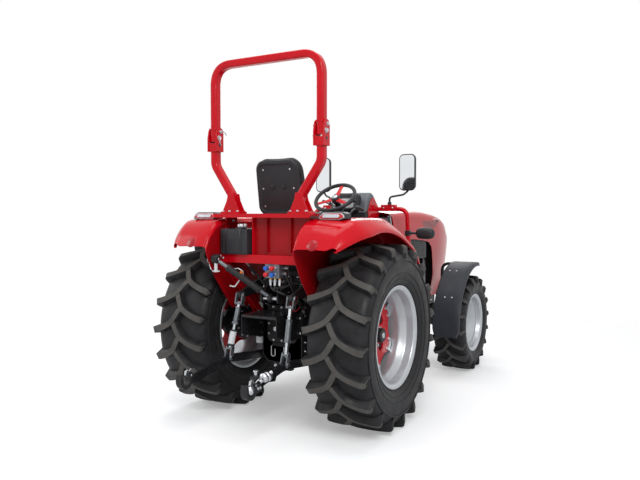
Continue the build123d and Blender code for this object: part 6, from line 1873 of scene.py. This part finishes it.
# Engine, front axle and frame
def engine():
    """Block, sump, head, filters, pump, starter, alternator, muffler, pulleys, belt and fan."""
    form = Form()
    for y in (1.010, 1.515):
        flange = mm((-160, 500), (-130, 470), (130, 470), (160, 500), (160, 860), (130, 890), (-130, 890),
                    (-160, 860))
        form.add(plate(flange, -y - 0.045, -y), CAST, rear_on(0.0))
        for sign in (-1, 1):
            for z in (0.53, 0.64, 0.75, 0.84):
                add_bolt(form, at_back(sign * 0.160, y + 0.022, z), (sign, 0, 0), 0.009, STEEL)
    form.add(pressed_box(at_back(-0.135, 1.020, 0.560), at_back(0.135, 1.550, 0.890), 0.008), CAST)
    form.add(pressed_box(at_back(-0.115, 1.042, 0.470), at_back(0.115, 1.528, 0.566), 0.020), BLACK)
    form.add(block(at_back(-0.1345, 1.050, 0.556), at_back(0.1345, 1.520, 0.568)), CAST)
    form.add(pressed_box(at_back(-0.110, 1.070, 0.888), at_back(0.110, 1.540, 1.040), 0.010), CAST)
    form.add(pressed_box(at_back(-0.080, 1.090, 1.036), at_back(0.080, 1.520, 1.120), 0.030), SILVER)
    for k in range(9):
        y = 1.09 + 0.052 * k
        for sign in (-1, 1):
            form.add(side_block(sign, (0.133, 0.146), (y, y + 0.009), (0.60, 0.73)), CAST)
            if k % 2 == 0:
                add_bolt(form, at_back(sign * 0.135, y + 0.02, 0.572), (sign, 0, 0), 0.007, STEEL)
                add_bolt(form, at_back(sign * 0.096, y + 0.02, 1.040), (0, 0, 1), 0.010, STEEL)
    for y in (1.160, 1.260):
        place = Matrix.Translation(at_back(0.180, y, 0.675))
        form.add(lathe(mm((0, 0), (30, 0), (40, 8), (41.5, 20), (41.5, 140), (40, 150), (42, 152), (42, 170),
                          (0, 170)), 32), WHITE if y < 1.2 else BLACK, place)
        for k in range(16):
            turn = place @ Matrix.Rotation(2 * pi * k / 16, 4, "Z")
            form.add(block((0.0385, -0.003, 0.014), (0.0418, 0.003, 0.040)), BLACK, turn)
    form.add(pressed_box(at_back(0.130, 1.110, 0.845), at_back(0.229, 1.310, 0.870), 0.008), CAST)
    form.add(pressed_box(at_back(0.130, 1.350, 0.740), at_back(0.210, 1.515, 0.870), 0.010), DULL)
    form.add(drum(0.036, 1.330, 1.352, 0.003), DULL, along_axis(0.172, 0.800))
    for k in range(4):
        y = 1.372 + 0.038 * k
        form.add(hexagon(0.0105, 0.0, 0.014), STEEL, facing(at_back(0.172, y, 0.868), (0, 0, 1)))
        hose(form, [at_back(0.172, y, 0.885), at_back(0.172, y, 0.93), at_back(0.140, y - 0.03 + 0.01 * k, 0.985),
                    at_back(0.112, 1.14 + 0.10 * k, 1.010)], 0.0035, 0.03, True, STEEL)
    for k in range(4):
        spot = at_back(0.110, 1.14 + 0.10 * k, 1.010)
        form.add(drum(0.013, -0.006, 0.016, 0.002), DULL, facing(spot, (1, 0, 0)))
    starter = along_axis(-0.180, 0.655)
    form.add(lathe(mm((0, 1030), (40, 1030), (47.5, 1040), (47.5, 1150), (44, 1152), (44, 1158), (47.5, 1160),
                      (47.5, 1230), (38, 1240), (0, 1240)), 36), BLACK, starter)
    form.add(drum(0.022, 1.060, 1.160, 0.003), STEEL, along_axis(-0.190, 0.713))
    hose(form, run((-190, 1175, 715), (-190, 1300, 730), (-150, 1420, 780), (-120, 1500, 900)), 0.006, 0.05)
    alternator = along_axis(-0.150, 0.925)
    form.add(lathe(mm((0, 1380), (46, 1380), (57, 1392), (57.5, 1470), (56, 1530), (46, 1545), (0, 1545)), 36),
             SILVER, alternator)
    for k in range(16):
        turn = alternator @ Matrix.Rotation(2 * pi * k / 16, 4, "Z")
        form.add(block((0.052, -0.0035, 1.395), (0.058, 0.0035, 1.425)), CAST, turn)
        form.add(block((0.052, -0.0035, 1.490), (0.058, 0.0035, 1.520)), CAST, turn)
    form.add(lathe(mm((0, 1545), (10, 1545), (10, 1556), (36, 1558), (30, 1570), (36, 1582), (36, 1588), (0, 1589)),
                   32), STEEL, alternator)
    muffler = along_axis(-0.130, 1.020)
    form.add(lathe(mm((0, 1090), (40, 1092), (60, 1106), (62, 1118), (62, 1332), (60, 1344), (40, 1358), (0, 1360)),
                   40), DULL, muffler)
    for y in (1.150, 1.300):
        form.add(lathe([(0.061, y), (0.0625, y), (0.0625, y + 0.014), (0.061, y + 0.014)], 40, closed=True), STEEL,
                 muffler)
    form.add(lathe(mm((0, 1555), (30, 1555), (84, 1557), (85, 1562), (74, 1570), (85, 1578), (85, 1586), (74, 1592),
                      (60, 1594), (34, 1590), (30, 1610), (0, 1610)), 48), BLACK, along_axis(0, CRANK_Z))
    fan = along_axis(0, FAN_Z)
    form.add(lathe(mm((0, 1555), (46, 1557), (48, 1566), (38, 1574), (48, 1582), (48, 1590), (22, 1594), (22, 1690),
                      (48, 1692), (48, 1728), (0, 1730)), 36), BLACK, fan)
    belt = []
    for cx, cz, radius, a0, a1 in ((0.0, CRANK_Z, 0.080, 180, 351), (0.0, FAN_Z, 0.043, -8, 62),
                                   (-0.150, 0.925, 0.033, 76, 200)):
        for k in range(9):
            a = radians(a0 + (a1 - a0) * k / 8)
            belt.append(at_back(cx + radius * cos(a), 1.574, cz + radius * sin(a)))
    rings = []
    centre = sum(belt, Vector()) / len(belt)
    for p in belt:
        out = (p - centre).normalized()
        rings.append([p + out * u + Vector((0, v, 0)) for u, v in ((-0.003, -0.006), (0.004, -0.006), (0.004, 0.006),
                (-0.003, 0.006))])
    form.add(loft(rings, True, False, True), HOSE)
    for k in range(6):
        turn = fan @ Matrix.Rotation(2 * pi * k / 6, 4, "Z")
        rows = []
        for i in range(7):
            r = 0.040 + 0.148 * i / 6
            w = 0.030 + 0.006 * sin(pi * i / 6)
            lean = 0.011 * (1 - 0.4 * i / 6)
            rows.append([(r, -w + 0.012 * i / 6, 1.716 - lean * 0.9), (r, 0.006 * i / 6, 1.7160),
                         (r, w, 1.716 + lean * 0.9)])
        form.add(skin(rows, 0.0025), PLASTIC, turn)
    hose(form, run((30, 1500, 1030), (50, 1600, 1130), (50, 1700, 1150), (60, 1800, 1120)), 0.020, 0.07)
    hose(form, run((120, 1500, 600), (150, 1620, 600), (160, 1720, 660), (160, 1810, 700)), 0.019, 0.07)
    hose(form, run((190, 1160, 870), (190, 1120, 930), (130, 1070, 970), (100, 1030, 970)), 0.006, 0.04)
    hose(form, run((190, 1260, 870), (200, 1300, 920), (190, 1400, 930), (180, 1460, 870)), 0.006, 0.04)
    hose(form, run((135, 1120, 620), (185, 1180, 600), (185, 1380, 620), (150, 1480, 740)), 0.0065, 0.05)
    hose(form, run((-130, 1360, 1020), (-130, 1420, 1020), (-100, 1460, 980), (-80, 1480, 970)), 0.018, 0.04, False,
         DULL)
    form.make("engine", "chassis", "cast_black", ("engine_block",), bevel=0.0012)


def radiator():
    """The core between its two tanks, with the fan's ring."""
    form = Form()
    low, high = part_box("radiator")
    core_low, core_high = low.z + 0.055, high.z - 0.070
    form.add(pressed_box((low.x, low.y, core_high), (high.x, high.y, high.z - 0.004), 0.012), PLASTIC)
    form.add(pressed_box((low.x, low.y, low.z), (high.x, high.y, core_low), 0.012), PLASTIC)
    for x in (low.x, high.x - 0.016):
        form.add(block((x, low.y + 0.004, core_low - 0.004), (x + 0.016, high.y - 0.004, core_high + 0.004)), BLACK)
    form.add(block((low.x + 0.014, low.y + 0.020, core_low - 0.002),
                   (high.x - 0.014, high.y - 0.020, core_high + 0.002)), CAST)
    for k in range(44):
        z = core_low + 0.006 + (core_high - core_low - 0.012) * k / 43
        for y in (low.y + 0.012, high.y - 0.020):
            form.add(block((low.x + 0.014, y, z - 0.0013), (high.x - 0.014, y + 0.009, z + 0.0013)), DULL)
    for k in range(12):
        x = low.x + 0.03 + (high.x - low.x - 0.06) * k / 11
        form.add(block((x - 0.002, low.y + 0.008, core_low), (x + 0.002, high.y - 0.008, core_high)), CAST)
    ring = mm((196, 0), (205, 0), (205, 32), (196, 32))
    form.add(lathe(ring, 56, closed=True), PLASTIC, along_axis(0,
            FAN_Z) @ Matrix.Translation((0, 0, low.y - REAR_Y - 0.034)))
    form.add(drum(0.022, -0.004, 0.0, 0.001), STEEL, facing((0.10, (low.y + high.y) / 2, high.z), (0, 0, 1)))
    form.make("radiator_core", "chassis", "black_plastic", ("radiator",))


def front_beam():
    """The axle beam with its differential, kingpin barrels and steering cylinder."""
    form = Form()
    z = FRONT_R
    section = mm((-45, -30), (-30, -45), (30, -45), (45, -30), (45, 30), (30, 45), (-30, 45), (-45, 30))
    centre = sideways(0, FRONT_Y, z)
    form.add(plate(section, -KINGPIN_X + 0.040, KINGPIN_X - 0.040), CAST, centre)
    bulge = []
    for x, r, flat in ((-0.110, 0.040, 0.046), (-0.085, 0.072, 0.056), (-0.045, 0.092, 0.060), (0.045, 0.092, 0.060),
                       (0.085, 0.072, 0.056), (0.110, 0.040, 0.046)):
        bulge.append([(r * cos(a), flat * sin(a), x) for a in turns(28)])
    form.add(loft(bulge), CAST, centre)
    for a in turns(10):
        add_bolt(form, centre @ Vector((0.090 * cos(a), 0.052 * sin(a), 0.030)), (1, 0, 0), 0.007, STEEL)
    for sign in (-1, 1):
        for band in (0.16, 0.26):
            form.add(plate([(p * 1.1, q * 1.1) for p, q in section], sign * band - 0.006, sign * band + 0.006), CAST,
                     centre)
        barrel = Matrix.Translation((sign * KINGPIN_X, FRONT_Y, z))
        form.add(lathe(mm((20.5, -63), (48, -63), (52, -58), (52, -30), (47, -24), (47, 24), (52, 30), (52, 58),
                          (48, 63), (20.5, 63)), 36, closed=True), CAST, barrel)
    cylinder = sideways(0, ROD_Y, ROD_Z)
    form.add(lathe(mm((14.1, -190), (26, -190), (28, -186), (28, -166), (25.5, -162), (25.5, 162), (28, 166),
                      (28, 186), (26, 190), (14.1, 190)), 32, closed=True), BLACK, cylinder)
    for sign in (-1, 1):
        near, far = sorted((sign * 0.062, sign * 0.098))
        form.add(block((near, ROD_Y + 0.02, z + 0.002), (far, FRONT_Y - 0.086, z + 0.038)), CAST)
        form.add(hexagon(0.010, 0.0, 0.016), STEEL, facing((sign * 0.176, ROD_Y, z + 0.046), (0, 0, 1)))
        line = ((0.176, 0, 0.060), (0.176, 0, 0.10), (0.13, 0.04, 0.13), (0.06, 0.10, 0.15))
        hose(form, [(sign * x, ROD_Y - back, z + up) for x, back, up in line], 0.006, 0.03)
    form.make("front_axle_beam", "chassis", "cast_black", ("front_axle",), bevel=0.0015)


def steering_parts():
    """The sliding rod with its nuts and ends."""
    form = Form()
    form.add(drum(0.0138, -STEER_ARM_X + 0.016, STEER_ARM_X - 0.016, 0.001), STEEL, sideways(0, ROD_Y, ROD_Z))
    for sign in (-1, 1):
        end = Vector((sign * STEER_ARM_X, ROD_Y, ROD_Z))
        form.add(hexagon(0.018, 0.040, 0.060), STEEL, facing(end, (-sign, 0, 0)))
        form.add(drum(0.0238, -0.0148, 0.0148, 0.003), CAST, Matrix.Translation(end))
        form.add(hexagon(0.010, 0.0145, 0.0149), STEEL, Matrix.Translation(end))
    form.make("steering_bar", "steering_rod", "steel", ("steering_rod",), bevel=0.0008)


def knuckle(side, sign):
    """The fork on its kingpin, the wall and hub outside it, and the steering arm."""
    form = Form()
    low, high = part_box(f"knuckle_{side}")
    pin_x, z = sign * KINGPIN_X, FRONT_R
    wall, arm_x = KINGPIN_X + 0.066, STEER_ARM_X
    for bottom in (z + 0.068, z - 0.096):
        outline = strap((0.0, 0.0), 0.0555, (wall - abs(pin_x) + 0.004, 0.0), 0.050)
        place = Matrix(((sign, 0, 0, pin_x), (0, 1, 0, FRONT_Y), (0, 0, 1, 0), (0, 0, 0, 1)))
        form.add(plate(outline, bottom, bottom + 0.028), CAST, place)
        up = 1 if bottom > z else -1
        cap = Vector((pin_x, FRONT_Y, bottom + (0.028 if up > 0 else 0.0)))
        form.add(drum(0.034, -0.004, 0.0, 0.001), BLACK, facing(cap, (0, 0, up)))
        for k in range(4):
            a = pi / 4 + pi / 2 * k
            form.add(hexagon(0.0075, -0.008, 0.0), STEEL, facing(cap + around(0.044, a, -0.0003 * up), (0, 0, up)))
    for foot in (z + 0.026, z - 0.070):
        form.add(drum(0.0198, foot, foot + 0.044, 0.001), STEEL, Matrix.Translation((pin_x, FRONT_Y, 0)))
    body = rounded_rectangle(0.150, 0.192, 0.030, 5)
    form.add(plate([(u, v + z) for u, v in body], wall, wall + 0.030), CAST, sideways(0, FRONT_Y, 0, sign))
    hub = sideways(0, FRONT_Y, z, sign)
    face = abs(high.x if sign > 0 else low.x)
    form.add(lathe([(0.0, wall + 0.02), (0.082, wall + 0.02), (0.082, face - 0.012), (0.076, face - 0.004),
                    (0.076, face), (0.0, face)], 44), CAST, hub)
    for k in range(8):
        a = 2 * pi * k / 8 + 0.2
        add_bolt(form, hub @ around(0.081, a, wall + 0.036), hub.to_3x3() @ around(1, a), 0.0045, STEEL, False)
    arm = [(wall + 0.028, FRONT_Y - 0.060), (wall + 0.028, FRONT_Y - 0.104), (arm_x + 0.010, ROD_Y - 0.0205),
           (arm_x, ROD_Y - 0.022), (arm_x - 0.018, ROD_Y - 0.012),
           (arm_x - 0.0215, ROD_Y), (arm_x - 0.014, ROD_Y + 0.017), (arm_x, ROD_Y + 0.0215),
           (wall + 0.002, FRONT_Y - 0.062)]
    form.add(plate(arm, z - 0.020, z), CAST, Matrix.Scale(sign, 4, (1, 0, 0)))
    form.make(f"steering_knuckle_{side}", f"knuckle_{side}", "cast_black", (f"knuckle_{side}",), bevel=0.0018)


def front_frame():
    """Two channel rails, the nose plate and the axle's hangers."""
    form = Form()
    nose, inner, outer = REAR_Y + 2.350, 0.112, 0.145
    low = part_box("front_frame")[0]
    for sign in (-1, 1):
        rail = [(outer, 0.500), (outer, 0.630), (inner, 0.630), (inner, 0.620), (outer - 0.010, 0.620),
                (outer - 0.010, 0.510), (inner, 0.510), (inner, 0.500)]
        form.add(plate([(sign * u, v) for u, v in rail], -(nose - REAR_Y), -1.560), CAST, rear_on(0.0))
        for y in (1.60, 1.66, 1.76, 1.95, 2.02, 2.16, 2.24):
            for z in (0.535, 0.600):
                add_bolt(form, at_back(sign * outer, y, z), (sign, 0, 0), 0.010, STEEL)
        form.add(side_block(sign, (0.110, 0.134), (1.70, 1.712), (0.51, 0.62)), CAST)
    form.add(plate([(u, v + (low.z + 0.630) / 2) for u, v in rounded_rectangle(0.290, 0.630 - low.z, 0.014, 4)],
                   -(nose - REAR_Y), -(nose - REAR_Y) + 0.020), CAST, rear_on(0.0))
    for x in (-0.10, 0.10):
        for z in (0.53, 0.60):
            form.add(lathe(mm((8.6, 0), (14.5, 0), (14.5, 1.5), (8.6, 1.5)), 24, closed=True), STEEL,
                     facing((x, nose - 0.0015, z), (0, 1, 0)))
    for y0 in (FRONT_Y - 0.115, FRONT_Y + 0.095):
        form.add(block((-0.145, y0, 0.500), (0.145, y0 + 0.020, 0.530)), CAST)
        hanger = [(-0.055, FRONT_R - 0.050), (0.055, FRONT_R - 0.050), (0.055, FRONT_R + 0.03), (0.11, 0.505),
                  (-0.11, 0.505), (-0.055, FRONT_R + 0.03)]
        form.add(plate(hanger, -(y0 - REAR_Y) - 0.020, -(y0 - REAR_Y)), CAST, rear_on(0.0))
        for x in (-0.09, 0.09):
            add_bolt(form, (x, y0 + (0.020 if y0 > FRONT_Y else 0.0), 0.516), (0, 1 if y0 > FRONT_Y else -1, 0),
                     0.009, STEEL)
    form.make("front_rails", "chassis", "cast_black", ("front_frame",), bevel=0.0015)


def deck():
    """Operator's deck with a ribbed mat, step plates and hangers."""
    form = Form()
    top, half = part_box("deck")[1].z, 0.430
    inner = abs(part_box("rear_fender_right")[0].x) - 0.0006
    form.add(plate(rounded_rectangle(2 * inner, 0.880, 0.010, 2), top - 0.012, top - 0.004), BLACK,
             Matrix.Translation(at_back(0, 0.560, 0)))
    form.add(plate(rounded_rectangle(2 * half, 0.300, 0.018, 3), top - 0.012, top - 0.004), BLACK,
             Matrix.Translation(at_back(0, 0.850, 0)))
    for sign in (-1, 1):
        mat = rounded_rectangle(0.225, 0.560, 0.03, 5)
        form.add(plate(mat, top - 0.005, top - 0.0022), PLASTIC, Matrix.Translation(at_back(sign * 0.215, 0.585, 0)))
        for k in range(22):
            form.add(block(at_back(sign * 0.215 - 0.100, 0.325 + 0.0245 * k, top - 0.0035),
                           at_back(sign * 0.215 + 0.100, 0.334 + 0.0245 * k, top - 0.0002)), HOSE)
        form.add(side_block(sign, (0.421, half), (0.703, 0.997), (top - 0.035, top - 0.004)), BLACK)
        for dy in (0.745, 0.925):
            form.add(side_block(sign, (0.4225, half), (dy - 0.018, dy + 0.018), (0.472, top - 0.006)), BLACK)
            for z in (0.86, 0.835):
                add_bolt(form, at_back(sign * 0.4215, dy, z), (-sign, 0, 0), 0.009, STEEL)
        form.add(side_block(sign, (0.423, 0.559), (0.732, 0.938), (0.470, 0.475)), BLACK)
        for y in (0.7305, 0.9365):
            form.add(side_block(sign, (0.423, 0.559), (y, y + 0.003), (0.4705, 0.4815)), BLACK)
        form.add(side_block(sign, (0.556, 0.5595), (0.731, 0.939), (0.4705, 0.4815)), BLACK)
        for i in range(5):
            for j in range(8):
                spot = at_back(sign * (0.440 + 0.026 * i), 0.748 + 0.0245 * j, 0.4745)
                form.add(lathe(mm((4, 0), (8.5, 0), (6.5, 6.5), (4, 6.5)), 10, closed=True), BLACK,
                         Matrix.Translation(spot))
    for y, floor in ((0.130, 0.820), (0.700, 0.780)):
        form.add(block(at_back(-0.098, y + 0.002, floor), at_back(0.098, y + 0.058, top - 0.010)), CAST)
    form.make("deck_plate", "chassis", "black_paint", ("deck",), bevel=0.0012)


def controls():
    """Pedals with ribbed pads, and two levers with knobs in a gaitered slot."""
    form = Form()
    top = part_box("deck")[1].z
    pedal_y = 0.745 - 0.0525
    for x in (-0.230, 0.210, 0.270):
        face = at_back(x, pedal_y, top + 0.120)
        place = rear_on(pedal_y) @ Matrix.Translation((x, top + 0.120, 0))
        form.add(plate(rounded_rectangle(0.066, 0.057, 0.008, 3), -0.007, 0.003), CAST, place)
        for k in range(6):
            form.add(block((x - 0.030, face.y - 0.0072, top + 0.0965 + 0.0085 * k),
                           (x + 0.030, face.y - 0.002, top + 0.1010 + 0.0085 * k)), HOSE)
        form.add(tube([at_back(x, 0.698, top + 0.002), at_back(x, 0.698, top + 0.112)], 0.0088), BLACK)
    for x in (0.235, 0.265):
        low, high = at_back(x, 0.180, top + 0.001), at_back(x, 0.180, top + 0.516)
        form.add(tube([low, high - Vector((0, 0, 0.045))], 0.0056), CAST)
        place = Matrix.Translation(high - Vector((0, 0, 0.056)))
        form.add(lathe(mm((0, 0), (7.2, 0), (7.8, 10), (7.8, 40), (6.6, 52), (3.5, 56.5), (0, 57.5)), 20), PLASTIC,
                 place)
        boot = [(0.0, 0.0), (0.0078, 0.0)]
        for k in range(5):
            boot += [(0.0079 - 0.0003 * k, 0.006 + 0.010 * k), (0.0062, 0.011 + 0.010 * k)]
        form.add(lathe(boot + [(0.0, 0.056)], 20), HOSE, Matrix.Translation(low))
    rise = [at_back(0.268, 0.30, top + 0.002), at_back(0.275, 0.27, top + 0.30), at_back(0.300, 0.20, top + 0.50),
            at_back(0.318, 0.30, top + 0.545), at_back(0.320, 0.38, top + 0.525)]
    form.add(tube(rise[:4], 0.0062, 0.05), BLACK)
    form.add(tube([rise[3] - (rise[3] - rise[2]) * 0.2, rise[3], rise[4]], 0.0115, 0.03), PLASTIC)
    form.make("pedals_and_levers", "chassis", "black_plastic", ("controls",), bevel=0.0006)


engine()
radiator()
front_beam()
steering_parts()
for side, sign in SIDES:
    knuckle(side, sign)
front_frame()
deck()
controls()
